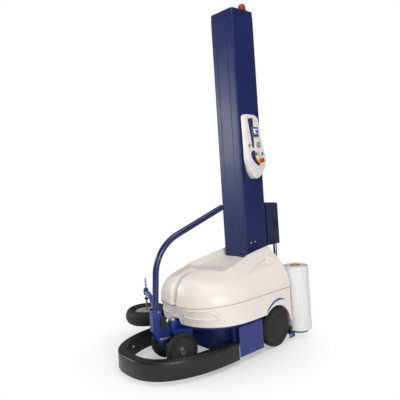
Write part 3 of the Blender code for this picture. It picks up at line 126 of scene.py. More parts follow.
def piece(name, points, faces, skin, body, stands_for=None, at=MACHINE, radius=0.0, crease=38):
    """One finished piece on the body that carries it; it may stand for solids of the frame."""
    mesh = bpy.data.meshes.new(name)
    mesh.from_pydata([at @ Vector(point) for point in points], [], faces)
    work = bmesh.new()
    work.from_mesh(mesh)
    bmesh.ops.remove_doubles(work, verts=work.verts, dist=1e-6)
    bmesh.ops.recalc_face_normals(work, faces=work.faces)
    if radius:
        round_edges(work, radius)
    work.to_mesh(mesh)
    work.free()
    mesh.shade_smooth()
    mesh.set_sharp_from_angle(angle=math.radians(crease))
    mesh.materials.append(skin)
    made = bpy.data.objects.new(name, mesh)
    bpy.context.scene.collection.objects.link(made)
    if radius:
        made.modifiers.new("even shading", "WEIGHTED_NORMAL").keep_sharp = True
    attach(made, body)
    if stands_for:
        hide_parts(*stands_for.split())
    return made


def skin_over(loops, ring=False, closed=True, caps=True):
    """Points and faces that join equal loops; a ring of loops closes on itself."""
    count = len(loops[0])
    faces = []
    for row in range(len(loops) if ring else len(loops) - 1):
        here, there = row * count, (row + 1) % len(loops) * count
        for index in range(count if closed else count - 1):
            step = (index + 1) % count
            faces.append((here + index, here + step, there + step, there + index))
    if caps and not ring:
        faces += [tuple(reversed(range(count))),
                  tuple(range((len(loops) - 1) * count, len(loops) * count))]
    return [point for loop in loops for point in loop], faces


def slab(outline, low, high, axis="Z"):
    """A flat outline given a thickness; its numbers are the other two axes in order."""
    def place(a, b, c):
        return {"X": (c, a, b), "Y": (a, c, b), "Z": (a, b, c)}[axis]
    return skin_over([[place(a, b, level) for a, b in outline] for level in (low, high)])


def block(low, high):
    """A box between two opposite corners."""
    (x0, y0, z0), (x1, y1, z1) = low, high
    return slab([(x0, y0), (x1, y0), (x1, y1), (x0, y1)], z0, z1)


def rounded(outline, radius, steps=4):
    """Rounds every corner of a closed outline, as far as its two sides have room."""
    made = []
    for index, corner in enumerate(outline):
        corner = Vector(corner)
        back = Vector(outline[index - 1]) - corner
        on = Vector(outline[(index + 1) % len(outline)]) - corner
        turn = back.angle(on, math.pi)
        if turn > math.radians(174):
            made.append(tuple(corner))
            continue
        reach = min(radius / math.tan(turn / 2), back.length * 0.48, on.length * 0.48)
        start, end = corner + back.normalized() * reach, corner + on.normalized() * reach
        for step in range(steps + 1):
            t = step / steps
            made.append(tuple(start * (1 - t) ** 2 + corner * 2 * t * (1 - t) + end * t * t))
    return made


def circle(radius, steps=48, centre=(0, 0)):
    angles = [2 * math.pi * step / steps for step in range(steps)]
    return [(centre[0] + radius * math.cos(a), centre[1] + radius * math.sin(a)) for a in angles]


def turned(profile, axis="Z", centre=(0, 0, 0), steps=64):
    """Turns a closed (radius, height) outline once round an axis through centre."""
    loops = []
    for step in range(steps):
        angle = 2 * math.pi * step / steps
        loop = []
        for radius, height in profile:
            a, b = radius * math.cos(angle), radius * math.sin(angle)
            flat = {"X": (height, a, b), "Y": (b, height, a), "Z": (a, b, height)}[axis]
            loop.append([c + f for c, f in zip(centre, flat)])
        loops.append(loop)
    return skin_over(loops, ring=True)


def nose_plan(nose, half, length, power, rear, steps=44):
    """Plan of a blunt nose, from the right rear corner round to the left rear corner."""
    side = []
    for step in range(steps + 1):
        angle = math.pi / 2 * step / steps
        side.append((nose + length * (1 - math.cos(angle) ** (2 / power)),
                     half * math.sin(angle) ** (2 / power)))
    side.append((rear, half))
    return side[::-1] + [(x, -y) for x, y in side[1:]]


STEEL = 0.008
NOSE_LENGTH, NOSE_POWER = 0.430, 2.35      # how far back the noses round, and how blunt
DECK = (0.246, 0.256)
DECK_HALF, DECK_NOSE, DECK_REAR = 0.370, 0.456, 1.259
WELL = (0.939, 0.311)      # front of the wheel wells, and how near they come to the centre
RAIL_FRONT, RAIL_REAR, RAIL_HALF, RAIL_LOW = 0.917, 1.2654, 0.300, 0.1125
AXLE_R = 0.0125
REAR_AXLE = Vector((1.100, 0, 0.150))
STEER_X = 0.398
deck_plan = nose_plan(DECK_NOSE, DECK_HALF, NOSE_LENGTH, NOSE_POWER, WELL[0])
deck_plan = ([(DECK_REAR, WELL[1]), WELL] + deck_plan
             + [(WELL[0], -WELL[1]), (DECK_REAR, -WELL[1])])
piece("deck_plate", *slab(deck_plan, *DECK), powder_coat_cobalt, "chassis", "chassis_frame",
      radius=0.0015)
TUB = (0.600, 0.925, 0.262, 0.068)     # front, rear, half width, floor


def tub_plan(inset):
    front, rear, half = TUB[:3]
    corners = [(rear - inset, half - inset), (front + inset, half - inset),
               (front + inset, inset - half), (rear - inset, inset - half)]
    return [(x, y) for x, y in rounded(corners, 0.110 - inset, 14)]


tub_walls = [[(*outer, TUB[3]), (*outer, DECK[0]), (*inner, DECK[0]), (*inner, TUB[3] + STEEL)]
             for outer, inner in zip(tub_plan(0), tub_plan(STEEL))]
piece("battery_tub", *skin_over(tub_walls, ring=True), powder_coat_navy, "chassis")
piece("tub_floor", *slab(tub_plan(STEEL / 2), TUB[3], TUB[3] + STEEL), powder_coat_navy, "chassis")
for name, hand in SIDES:
    rail = block((RAIL_FRONT, hand * RAIL_HALF - 0.010, RAIL_LOW),
                 (RAIL_REAR, hand * RAIL_HALF + 0.010, DECK[0]))
    piece("axle_rail_" + name, *rail, powder_coat_navy, "chassis", radius=0.002)
    post = slab(rounded([(0.702, hand * 0.2847), (0.742, hand * 0.2847), (0.742, hand * 0.3207),
                         (0.702, hand * 0.3207)], 0.003), 0.082, DECK[0])
    piece("bumper_sleeve_" + name, *post, powder_coat_cobalt, "chassis")
piece("rail_tie", *block((RAIL_FRONT, -RAIL_HALF, RAIL_LOW), (TUB[1], RAIL_HALF, DECK[0])),
      powder_coat_navy, "chassis", radius=0.002)
piece("rear_plate", *slab(rounded([(-0.310, 0.068), (0.310, 0.068), (0.310, DECK[0]),
                                   (-0.310, DECK[0])], 0.012), 1.2614, 1.2694, "X"),
      powder_coat_cobalt, "chassis", radius=0.0015)
piece("steering_beam", *block((STEER_X, -0.0272, 0.252), (0.710, 0.0272, 0.292)),
      powder_coat_cobalt, "chassis", radius=0.003)
head_outline = rounded([(0.0134, 0.2453), (0.034, 0.2453), (0.034, 0.300), (0.0134, 0.300)], 0.002)
piece("steering_head", *turned(head_outline, centre=(STEER_X, 0, 0)), powder_coat_cobalt, "chassis")

# ================================================================ side panels
# 4 mm steel sheets between bumper and rear wheel, folded inward along the top and hung
# under the deck by that fold; their cobalt is lighter than the chassis's, a painted reflection of
# the pale floor.
panel_cobalt_painted_reflection = surface("powder_coated_steel_panel_painted_reflection", "2B3677", "303C80", 0.42, 4, 0.06,
                            uneven=0.02, IOR=1.5, Specular_IOR_Level=0.45)
# Bright zinc plate: a pale bluish metal, slightly blotchy.
zinc_plate = surface("zinc_plated_steel", "B9BCC0", "8D9196", 0.34, 1.5, 0.02, patch=14,
                     Metallic=1.0)


def screw(name, at_point, normal, body, size=0.0045, skin=None, at=MACHINE):
    """A domed button-head screw with a hexagon socket, its head standing on a face."""
    turn = Vector((0, 0, 1)).rotation_difference(Vector(normal)).to_matrix().to_4x4()
    head = [(0.42 * size, 0.35 * size), (0.42 * size, 0.8 * size), (0.62 * size, 0.76 * size),
            (0.9 * size, 0.45 * size), (size, 0.0), (0.42 * size, 0.0)]
    points, faces = turned(head, steps=24)
    socket, socket_faces = slab(circle(0.43 * size, 6), 0.0, 0.35 * size)
    shift = len(points)
    faces += [tuple(index + shift for index in face) for face in socket_faces]
    place = at @ Matrix.Translation(at_point) @ turn
    return piece(name, points + socket, faces, skin or zinc_plate, body, at=place)


SHEET = 0.004
PANEL_X, PANEL_Z = (0.692, 0.939), (0.038, 0.2457)
for name, hand in SIDES:
    face = hand * 0.378
    sheet = slab(rounded([(PANEL_X[0], PANEL_Z[0]), (PANEL_X[1], PANEL_Z[0]),
                          (PANEL_X[1], PANEL_Z[1]), (PANEL_X[0], PANEL_Z[1])], 0.004),
                 min(face, face - hand * SHEET), max(face, face - hand * SHEET), "Y")
    piece("panel_sheet_" + name, *sheet, panel_cobalt_painted_reflection, "chassis", "side_panel_" + name,
          radius=0.0012)
    fold = sorted((face - hand * SHEET, hand * 0.346))
    piece("panel_fold_" + name, *block((PANEL_X[0], fold[0], 0.2417),
                                       (PANEL_X[1], fold[1], PANEL_Z[1])),
          panel_cobalt_painted_reflection, "chassis", radius=0.001)

# ================================================================ batteries and drive
# Hidden in the chassis: the battery block in its black polypropylene case and the
# grey cast housing of gearmotor and differential, with the plain steel half axles.
moulded_case = surface("moulded_polypropylene_case", "2A2C30", "34363A", 0.55, 3, 0.08, IOR=1.49)
cast_housing = surface("sand_cast_aluminium_grey", "6C6F73", "4E5155", 0.5, 2.5, 0.15, patch=40,
                       Metallic=0.8)
turned_steel = surface("turned_bright_steel", "A9ABAE", "83868A", 0.3, 0.8, 0.02, patch=25,
                       Metallic=1.0)


def coat(skin, *names):
    """Gives solids of the frame their finish."""
    for name in names:
        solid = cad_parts[name]
        solid.data.materials.clear()
        solid.data.materials.append(skin)


coat(moulded_case, "battery_pack")
coat(cast_housing, "drive_unit", "lift_motor")
coat(turned_steel, "half_axle_left", "half_axle_right")

# ================================================================ rear wheels
# Solid black rubber tyres with moulded lugs on the tread's outer edge, each hidden by
# a plain black polypropylene disc with a raised ring and a small hub nub.
tyre_rubber = surface("moulded_tyre_rubber", "1A191A", "2B2928", 0.62, 2, 0.12, patch=60, IOR=1.52,
                      Specular_IOR_Level=0.4)
disc_plastic = surface("moulded_black_polypropylene", "211E1D", "292524", 0.5, 2.5, 0.10, IOR=1.49,
                       Specular_IOR_Level=0.35)
REAR_R = 0.150
REAR_FACE = 0.376
REAR_WIDTH = 0.054
LUGS = 44


def lugged(profile, lugs, depth, low, high, steps_per_lug=4):
    """A turned tyre whose outline's points between two heights drop into gaps between lugs."""
    loops = []
    steps = lugs * steps_per_lug
    outer = max(radius for radius, _ in profile)
    for step in range(steps):
        angle = 2 * math.pi * step / steps
        gap = step % steps_per_lug >= steps_per_lug // 2
        loop = []
        for radius, height in profile:
            if gap and radius > outer - 0.6 * depth and not low < height < high:
                radius -= depth
            loop.append((radius * math.sin(angle), height, radius * math.cos(angle)))
        loops.append(loop)
    return skin_over(loops, ring=True)


for name, hand in SIDES:
    spin = MACHINE @ Matrix.Translation(REAR_AXLE)
    body = "rear_wheel_" + name
    inner, face = hand * (REAR_FACE - REAR_WIDTH), hand * REAR_FACE
    bore = AXLE_R + 0.0005
    outline = [(bore, inner), (0.140, inner), (0.147, inner + hand * 0.002),
               (REAR_R, inner + hand * 0.008), (REAR_R, inner + hand * 0.018),
               (REAR_R, face - hand * 0.018), (REAR_R, face - hand * 0.008),
               (0.147, face - hand * 0.002), (0.140, face), (0.126, face),
               (0.116, face - hand * 0.006), (bore, face - hand * 0.006)]
    land = sorted((inner + hand * 0.0185, face - hand * 0.0185))
    tread = lugged(outline, LUGS, 0.005, land[0], land[1])
    piece("tyre_rear_" + name, *tread, tyre_rubber, body, "rear_tyre_" + name, at=spin, crease=30)
    seat = face - hand * 0.0055
    rise = hand * 0.001
    disc = [(bore, seat), (0.112, seat), (0.121, face + rise * 0.3), (0.134, face + rise * 0.3),
            (0.134, face + 4.5 * rise), (0.131, face + 7 * rise), (0.124, face + 9.2 * rise),
            (0.118, face + 10 * rise), (0.092, face + 10 * rise), (0.090, face + 8.6 * rise),
            (0.087, face + 8.6 * rise), (0.085, face + 10 * rise), (0.030, face + 10 * rise),
            (0.028, face + 11 * rise), (0.024, face + 15.4 * rise), (0.021, face + 16 * rise),
            (0.0002, face + 16 * rise), (0.0002, face + 12.6 * rise),
            (bore, face + 12.6 * rise)]
    piece("disc_rear_" + name, *turned(rounded(disc, 0.0012, 2), "Y", steps=96), disc_plastic, body,
          "rear_disc_" + name, at=spin, crease=40)

# ================================================================ steering bogie
# A steel fork folded from 10 and 12 mm plate, powder-coated cobalt, on a spindle bolt;
# the axle goes through both legs and carries a wheel on each outer side.
STEER_REST = -11          # degrees from straight ahead
STEER = (MACHINE @ Matrix.Translation((STEER_X, 0, 0))
         @ Matrix.Rotation(math.radians(STEER_REST), 4, "Z"))
FRONT_R = 0.118
FRONT_TRACK = 0.124
leg = [(-0.036, 0.239), (-0.036, 0.118), (-0.032, 0.086), (0.032, 0.086), (0.112, 0.201),
       (0.112, 0.239)]
crown = slab(rounded([(-0.036, -0.092), (0.112, -0.092), (0.112, 0.092), (-0.036, 0.092)], 0.006),
             0.233, 0.245)
piece("bogie_crown", *crown, powder_coat_cobalt, "steering", "steering_bogie", at=STEER,
      radius=0.002)
for name, hand in SIDES:
    span = sorted((hand * 0.082, hand * 0.092))
    piece("bogie_leg_" + name, *slab(rounded(leg, 0.010), *span, "Y"), powder_coat_cobalt,
          "steering", at=STEER, radius=0.0015)
spindle = [(0, 0.219), (0.022, 0.219), (0.0249, 0.222), (0.0249, 0.2325), (0.013, 0.2325),
           (0.013, 0.3005), (0.0249, 0.3005), (0.0249, 0.310), (0.020, 0.314), (0, 0.314)]
piece("spindle_bolt", *turned(spindle), zinc_plate, "steering", "steering_spindle", at=STEER)
axle = [(0, -0.151), (0.0105, -0.151), (AXLE_R, -0.149), (AXLE_R, 0.149), (0.0105, 0.151),
        (0, 0.151)]
piece("front_axle_rod", *turned(axle, "Y", (0, 0, FRONT_R)), turned_steel, "steering", "front_axle",
      at=STEER)

# ================================================================ front wheels
# Solid rubber tyres with ribbed sidewalls and a fine block tread, on dark moulded hubs
# with a ring of round pockets; a pressed zinc cap covers each bearing.
hub_plastic = surface("moulded_nylon_hub_dark", "33302F", "403C3A", 0.5, 2.5, 0.08, IOR=1.53)
FRONT_HALF_WIDTH, FRONT_LUGS, HUB_POCKETS = 0.023, 40, 8
for name, hand in SIDES:
    spin = STEER @ Matrix.Translation((0, hand * FRONT_TRACK, FRONT_R))
    body = "front_wheel_" + name
    edge = FRONT_HALF_WIDTH
    outline = [(0.0882, -0.016), (0.094, -0.020), (0.098, -0.0215), (0.100, -0.0205),
               (0.103, -0.0225), (0.106, -0.0212), (0.109, -edge), (0.114, -edge + 0.001),
               (FRONT_R, -0.017), (FRONT_R, -0.004), (0.1155, -0.003), (0.1155, 0.003),
               (FRONT_R, 0.004), (FRONT_R, 0.017), (0.114, edge - 0.001), (0.109, edge),
               (0.106, 0.0212), (0.103, 0.0225), (0.100, 0.0205), (0.098, 0.0215), (0.094, 0.020),
               (0.0882, 0.016)]
    piece("tyre_front_" + name, *lugged(outline, FRONT_LUGS, 0.003, -0.006, 0.006), tyre_rubber,
          body, "front_tyre_" + name, at=spin, crease=30)
    rim = [(0.013, -0.012), (0.030, -0.015), (0.034, -0.010), (0.074, -0.008), (0.080, -0.0145),
           (0.0878, -0.015), (0.0878, 0.015), (0.080, 0.0145), (0.074, 0.008), (0.034, 0.010),
           (0.030, 0.015), (0.013, 0.012)]
    piece("hub_front_" + name, *turned(rounded(rim, 0.002, 2), "Y", steps=72), hub_plastic, body,
          "front_hub_" + name, at=spin)
    for count in range(HUB_POCKETS):
        angle = 2 * math.pi * (count + 0.5) / HUB_POCKETS
        boss = turned([(0.0085, 0.0075), (0.0085, 0.0112), (0.0110, 0.0112), (0.0125, 0.0075)],
                      "Y", (0.054 * math.sin(angle), 0, 0.054 * math.cos(angle)), steps=24)
        boss = ([(x, hand * y, z) for x, y, z in boss[0]], boss[1])
        piece("hub_pocket_%s_%d" % (name, count), *boss, hub_plastic, body, at=spin)
    cap = [(0.0131, 0.014), (0.0235, 0.014), (0.0245, 0.017), (0.022, 0.0215), (0.0131, 0.0222)]
    cap = [(radius, hand * height) for radius, height in cap]
    piece("bearing_cap_" + name, *turned(cap, "Y"), zinc_plate, body, at=spin)

# ================================================================ tiller
# 45 mm steel tube bent once over a former, powder-coated cobalt with a black plastic end
# plug, its foot welded to a folded channel that is bolted to the bogie; a tie rod links them.
powder_coat_tube = surface("powder_coated_tube_gloss", "121E56", "17245E", 0.24, 4, 0.02, IOR=1.5,
                           uneven=0.02, Coat_Weight=0.1, Coat_Roughness=0.12)
plug_plastic = surface("moulded_polyethylene_black", "17171A", "232326", 0.45, 2.5, 0.06, IOR=1.51)


def swept(path, section, sides=32):
    """Rings of a round section along a path; section gives (place on the path, radius)."""
    path = [Vector(point) for point in path]
    loops = []
    across = None
    for index, point in enumerate(path):
        ahead = path[min(index + 1, len(path) - 1)] - path[max(index - 1, 0)]
        ahead.normalize()
        across = ahead.orthogonal() if across is None else across - ahead * across.dot(ahead)
        across.normalize()
        over = ahead.cross(across)
        radius = section(index)
        loops.append([tuple(point + radius * (across * math.cos(a) + over * math.sin(a)))
                      for a in (2 * math.pi * side / sides for side in range(sides))])
    return skin_over(loops)


TILLER_R = 0.0225
BEND_R, BEND_FROM, BEND_TO, BEND_STEPS = 0.310, 175.5, 112.3, 32
bend_centre = Vector((0.20077, 0, 0.62068))
rise = math.radians(22.3)
tiller_path = [(-0.137, 0, 0.280)]
for step in range(BEND_STEPS + 1):
    angle = math.radians(BEND_FROM + (BEND_TO - BEND_FROM) * step / BEND_STEPS)
    tiller_path.append(tuple(bend_centre + BEND_R * Vector((math.cos(angle), 0, math.sin(angle)))))
along = Vector((math.cos(rise), 0, math.sin(rise)))
upper_start = Vector(tiller_path[-1])
tiller_end = upper_start + along * 0.434
tiller_path.append(tuple(tiller_end))
piece("tiller_bent_tube", *swept(tiller_path, lambda index: TILLER_R), powder_coat_tube, "steering",
      "tiller_tube", at=STEER)
plug_rings = [(-0.002, TILLER_R + 0.0004), (0.0, TILLER_R + 0.0008), (0.0035, TILLER_R + 0.0004),
              (0.0055, TILLER_R - 0.003), (0.0058, 0.0125), (0.0045, 0.0120), (0.0045, 0.0015)]
piece("tiller_plug", *swept([tiller_end + along * reach for reach, _ in plug_rings],
                            lambda index: plug_rings[index][1]), plug_plastic, "steering",
      "tiller_end_cap", at=STEER)
# The plug's pale centre disc, and the long hand slot's black rubber strip.
pale_plastic = surface("moulded_polyethylene_grey", "9A9CA0", "85878B", 0.5, 2, 0.05, IOR=1.51)
piece("plug_disc", *swept([tiller_end + along * 0.0044, tiller_end + along * 0.0062],
                          lambda index: 0.0112 - 0.001 * index), pale_plastic, "steering", at=STEER)
side = Vector((0, -1, 0))
over = side.cross(along).normalized()
over = over if over.z > 0 else -over
STRIP_ROWS, STRIP_STEPS, STRIP_FROM, STRIP_LONG, STRIP_TURN = 9, 60, 0.030, 0.375, 0.55
strip = []
for step in range(STRIP_STEPS + 1):
    run = STRIP_FROM + STRIP_LONG * step / STRIP_STEPS
    end_in = min(run - STRIP_FROM, STRIP_FROM + STRIP_LONG - run)
    half_angle = 0.20 * math.sqrt(max(1 - (1 - min(end_in / 0.006, 1)) ** 2, 0.0004))
    ring = []
    for lift in (0.0005, -0.0015):
        row_angles = [half_angle * (2 * row / (STRIP_ROWS - 1) - 1) for row in range(STRIP_ROWS)]
        for a in (row_angles if lift > 0 else reversed(row_angles)):
            out = side * math.cos(a + STRIP_TURN) + over * math.sin(a + STRIP_TURN)
            ring.append(tuple(upper_start + along * run + out * (TILLER_R + lift)))
    strip.append(ring)
piece("hand_slot_strip", *skin_over(strip), plug_plastic, "steering", at=STEER)
PLATE_HALF = 0.0288
PLATE_BACK, PLATE_FRONT = -0.0363, -0.1655
plate = [(PLATE_FRONT, 0.410), (PLATE_BACK - 0.062, 0.405), (PLATE_BACK - 0.056, 0.345),
         (PLATE_BACK, 0.258), (PLATE_BACK, 0.205), (PLATE_BACK - 0.008, 0.072),
         (PLATE_BACK - 0.100, 0.186), (PLATE_FRONT, 0.243)]
for name, hand in SIDES:
    span = sorted((hand * (PLATE_HALF - 0.006), hand * PLATE_HALF))
    stands = "tiller_plate" if hand < 0 else None
    piece("tiller_cheek_" + name, *slab(rounded(plate, 0.012), *span, "Y"), powder_coat_cobalt,
          "steering", stands, at=STEER, radius=0.0015)
back_web = slab([(PLATE_FRONT + 0.001, 0.250), (PLATE_FRONT + 0.007, 0.250),
                 (PLATE_FRONT + 0.007, 0.404), (PLATE_FRONT + 0.001, 0.404)], -PLATE_HALF + 0.002,
                PLATE_HALF - 0.002, "Y")
piece("tiller_web", *back_web, powder_coat_cobalt, "steering", at=STEER, radius=0.001)
for count, (x, z, size) in enumerate(((-0.118, 0.195, 0.010), (-0.062, 0.150, 0.009),
                                      (-0.120, 0.385, 0.007), (-0.080, 0.270, 0.008))):
    screw("tiller_bolt_%d" % count, (x, -PLATE_HALF, z), (0, -1, 0), "steering", size, at=STEER)
latch = slab(rounded([(-0.112, 0.270), (-0.070, 0.258), (-0.058, 0.300), (-0.080, 0.352),
                      (-0.106, 0.350)], 0.006), -0.0388, -PLATE_HALF + 0.0005, "Y")
piece("tiller_latch", *latch, plug_plastic, "steering", at=STEER, radius=0.0015)
rod = [(0, -0.120), (0.012, -0.120), (0.0144, -0.117), (0.0144, -0.106), (0.009, -0.104),
       (0.009, 0.033), (0.0075, 0.035), (0, 0.035)]
piece("tie_rod_bar", *turned(rod, "X", (0, -0.0381, 0.194)), zinc_plate, "steering", "tie_rod",
      at=STEER)

# ================================================================ feeler arm
# A bent steel tube from the tiller's foot out past the machine's side, powder-coated a
# brighter cobalt, with a welded sleeve at its end that guides the feeler wheel's rod.
powder_coat_bright = surface("powder_coated_tube_bright", "25408F", "2D4897", 0.34, 4, 0.05,
                             IOR=1.5, Coat_Weight=0.2, Coat_Roughness=0.2)
ARM_R = 0.017
foot_x = -0.12559
arm_knots = [(foot_x, 0.0228, 0.425), (foot_x, 0.0345, 0.425), (foot_x + 0.010, 0.075, 0.439),
             (foot_x + 0.034, 0.150, 0.447), (foot_x + 0.064, 0.240, 0.443),
             (foot_x + 0.098, 0.340, 0.429), (foot_x + 0.128, 0.430, 0.411), (0.030, 0.525, 0.396),
             (0.054, 0.600, 0.386)]


def eased(knots, steps=8):
    """A smooth path through every knot."""
    knots = [Vector(knot) for knot in knots]
    path = []
    for index in range(len(knots) - 1):
        before = knots[max(index - 1, 0)]
        here, there = knots[index], knots[index + 1]
        after = knots[min(index + 2, len(knots) - 1)]
        for step in range(steps):
            t = step / steps
            path.append(0.5 * (2 * here + (there - before) * t
                               + (2 * before - 5 * here + 4 * there - after) * t ** 2
                               + (3 * here - before - 3 * there + after) * t ** 3))
    return path + [knots[-1]]


arm_path = eased(arm_knots)
outward = (arm_path[-1] - arm_path[-2]).normalized()
arm_ends = arm_path + [arm_path[-1] + outward * 0.003]
piece("feeler_bent_arm", *swept(arm_ends, lambda index: ARM_R if index < len(arm_ends) - 1
                                else ARM_R - 0.003), powder_coat_bright, "steering",
      "feeler_arm", at=STEER)
POST = (0.030, 0.525)
sleeve = [(0.0090, 0.376), (0.021, 0.376), (0.021, 0.416), (0.0090, 0.416)]
piece("feeler_sleeve", *turned(rounded(sleeve, 0.0012, 2), centre=(*POST, 0)), powder_coat_bright,
      "steering", at=STEER)

# ================================================================ feeler wheel
# A hanging wheel that follows the load: a round rubber tyre on a cast aluminium rim with
# eight spokes, painted light grey, on a zinc-plated rod threaded for its two collars.


def threaded(radius, low, high, pitch, sides=24):
    """A rod whose surface carries a true screw thread between two heights."""
    loops = []
    rows = int((high - low) / pitch * 6)
    for row in range(rows + 1):
        z = low + (high - low) * row / rows
        loop = []
        for side_step in range(sides):
            angle = 2 * math.pi * side_step / sides
            phase = (z / pitch - angle / (2 * math.pi)) % 1.0
            r = radius - 0.5 * pitch * (1 - abs(2 * phase - 1)) * 0.8
            loop.append((POST[0] + r * math.cos(angle), POST[1] + r * math.sin(angle), z))
        loops.append(loop)
    return skin_over(loops)


ROD_R = 0.0085
rod = [(0, 0.176), (0.012, 0.176), (0.0145, 0.179), (0.0145, 0.183), (ROD_R, 0.185),
       (ROD_R, 0.425), (0.0072, 0.426), (0.0072, 0.508), (0.006, 0.510), (0, 0.510)]
piece("feeler_rod_bar", *turned(rod, centre=(*POST, 0)), zinc_plate, "feeler_post", "feeler_rod",
      at=STEER)
# The 17 mm rod's thread has a pitch of about 2.5 mm, drawn at 4 mm to show.
piece("feeler_thread", *threaded(ROD_R + 0.0002, 0.431, 0.505, 0.004), zinc_plate, "feeler_post",
      at=STEER)
for name, low in (("upper", 0.4163), ("lower", 0.3367)):
    collar = [(0.0087, low), (0.0155, low), (0.0165, low + 0.001), (0.0165, low + 0.006),
              (0.0158, low + 0.007), (0.0165, low + 0.008), (0.0165, low + 0.013),
              (0.0155, low + 0.014), (0.0087, low + 0.014)]
    piece("feeler_stop_" + name, *turned(collar, centre=(*POST, 0)), plug_plastic, "feeler_post",
          "feeler_collar_" + name, at=STEER)
FEELER_Z, RIM_SEAT_R, FEELER_SPOKES = 0.214, 0.0945, 8
wheel = STEER @ Matrix.Translation((*POST, FEELER_Z))
outline = [(RIM_SEAT_R, -0.030), (0.098, -0.033)]
for step in range(25):
    angle = math.radians(-128 + 256 * step / 24)
    swell = 0.040 * math.cos(angle)
    groove = 0.0022 if step in (9, 12, 15) else 0.0
    outline.append((0.138 + swell - groove, 0.055 * math.sin(angle)))
outline += [(0.098, 0.033), (RIM_SEAT_R, 0.030)]
outline = [(max(radius, RIM_SEAT_R), height) for radius, height in outline]
tyre_loops = []
FEELER_LUGS = 48
for step in range(FEELER_LUGS * 4):
    angle = 2 * math.pi * step / (FEELER_LUGS * 4)
    loop = []
    for radius, height in outline:
        if step % 4 == 0 and radius > 0.160:
            radius -= 0.0022
        loop.append((radius * math.cos(angle), radius * math.sin(angle), height))
    tyre_loops.append(loop)
piece("feeler_round_tyre", *skin_over(tyre_loops, ring=True), tyre_rubber, "feeler_wheel",
      "feeler_tyre", at=wheel, crease=36)
painted_rim = surface("painted_cast_aluminium_light_grey", "B4B6BA", "A3A5AA", 0.4, 2.5, 0.08,
                      IOR=1.5)
rim = [(0.0745, -0.006), (0.080, -0.012), (0.088, -0.031), (0.0935, -0.033), (0.0935, -0.029),
       (0.090, -0.010), (0.090, 0.010), (0.0935, 0.029), (0.0935, 0.033), (0.088, 0.031),
       (0.080, 0.012), (0.0745, 0.006)]
piece("feeler_cast_rim", *turned(rounded(rim, 0.0015, 2), steps=96), painted_rim, "feeler_wheel",
      "feeler_rim", at=wheel)
hub = [(0.0089, -0.030), (0.018, -0.030), (0.020, -0.028), (0.020, -0.014), (0.030, -0.008),
       (0.030, 0.008), (0.020, 0.014), (0.020, 0.028), (0.018, 0.030), (0.0089, 0.030)]
piece("feeler_hub", *turned(hub, steps=48), painted_rim, "feeler_wheel", at=wheel)
for count in range(FEELER_SPOKES):
    turn = wheel @ Matrix.Rotation(2 * math.pi * count / FEELER_SPOKES, 4, "Z")
    spoke = skin_over([[(x, half * side_y, lift * side_z) for side_y, side_z in
                        ((-1, -0.5), (-1, 0.5), (-0.5, 1), (0.5, 1), (1, 0.5), (1, -0.5),
                         (0.5, -1), (-0.5, -1))]
                       for x, half, lift in ((0.027, 0.0075, 0.007), (0.050, 0.0062, 0.0065),
                                             (0.078, 0.0085, 0.009))])
    piece("feeler_spoke_%d" % count, *spoke, painted_rim, "feeler_wheel", at=turn, radius=0.001)

# ================================================================ bumper
# A blunt U of rotationally moulded polyurethane, black and satin, with an inward top
# flange; a steel band behind it carries two guide arms that slide in the chassis sleeves.
moulded_bumper = surface("rotomoulded_polyurethane_black", "131213", "1C1A1B", 0.32, 3, 0.05,
                         patch=150, uneven=0.03, IOR=1.5, Specular_IOR_Level=0.5)
powder_coat_black = surface("powder_coated_steel_black", "1B1C1E", "26272A", 0.5, 3, 0.06, IOR=1.5)
BUMPER_HALF, BUMPER_LENGTH, BUMPER_REAR = 0.388, 0.660, 0.672


def bumper_plan(inset):
    return nose_plan(inset, BUMPER_HALF - inset, BUMPER_LENGTH - inset, 2.5, BUMPER_REAR, 72)


def along_plan(profile, plan):
    """Carries an (inset, height) outline along a plan that depends on the inset."""
    rails = [(plan(inset), height) for inset, height in profile]
    return skin_over([[(*rail[index], height) for rail, height in rails]
                      for index in range(len(rails[0][0]))])


bumper_outline = [(0.0020, 0.030), (0.0, 0.034), (0.0, 0.137), (0.0012, 0.1425), (0.0042, 0.1468),
                  (0.0085, 0.1492), (0.013, 0.150), (0.060, 0.150), (0.0665, 0.1490),
                  (0.070, 0.1460), (0.070, 0.141), (0.016, 0.141), (0.009, 0.134), (0.009, 0.030)]
piece("bumper_moulding", *along_plan(bumper_outline, bumper_plan), moulded_bumper, "bumper",
      "bumper_skin", crease=50)
band_outline = [(0.065, 0.040), (0.070, 0.040), (0.070, 0.1407), (0.065, 0.1407)]
piece("bumper_steel_band", *along_plan(band_outline, bumper_plan), powder_coat_black, "bumper",
      "bumper_band")
for name, hand in SIDES:
    arm = slab(rounded([(0.552, hand * 0.2927), (0.790, hand * 0.2927), (0.790, hand * 0.3127),
                        (0.552, hand * 0.3127)], 0.003), 0.090, 0.120)
    piece("guide_arm_" + name, *arm, zinc_plate, "bumper")
inner_face = bumper_plan(0.070)
for count, index in enumerate((38, 108)):
    here, there = Vector(inner_face[index]), Vector(inner_face[index + 1])
    ahead = (there - here).normalized()
    inward = Vector((ahead.y, -ahead.x, 0))
    inward = inward if inward.x > 0 else -inward
    screw("bumper_bolt_%d" % count, (here.x, here.y, 0.105), inward, "bumper", 0.008)

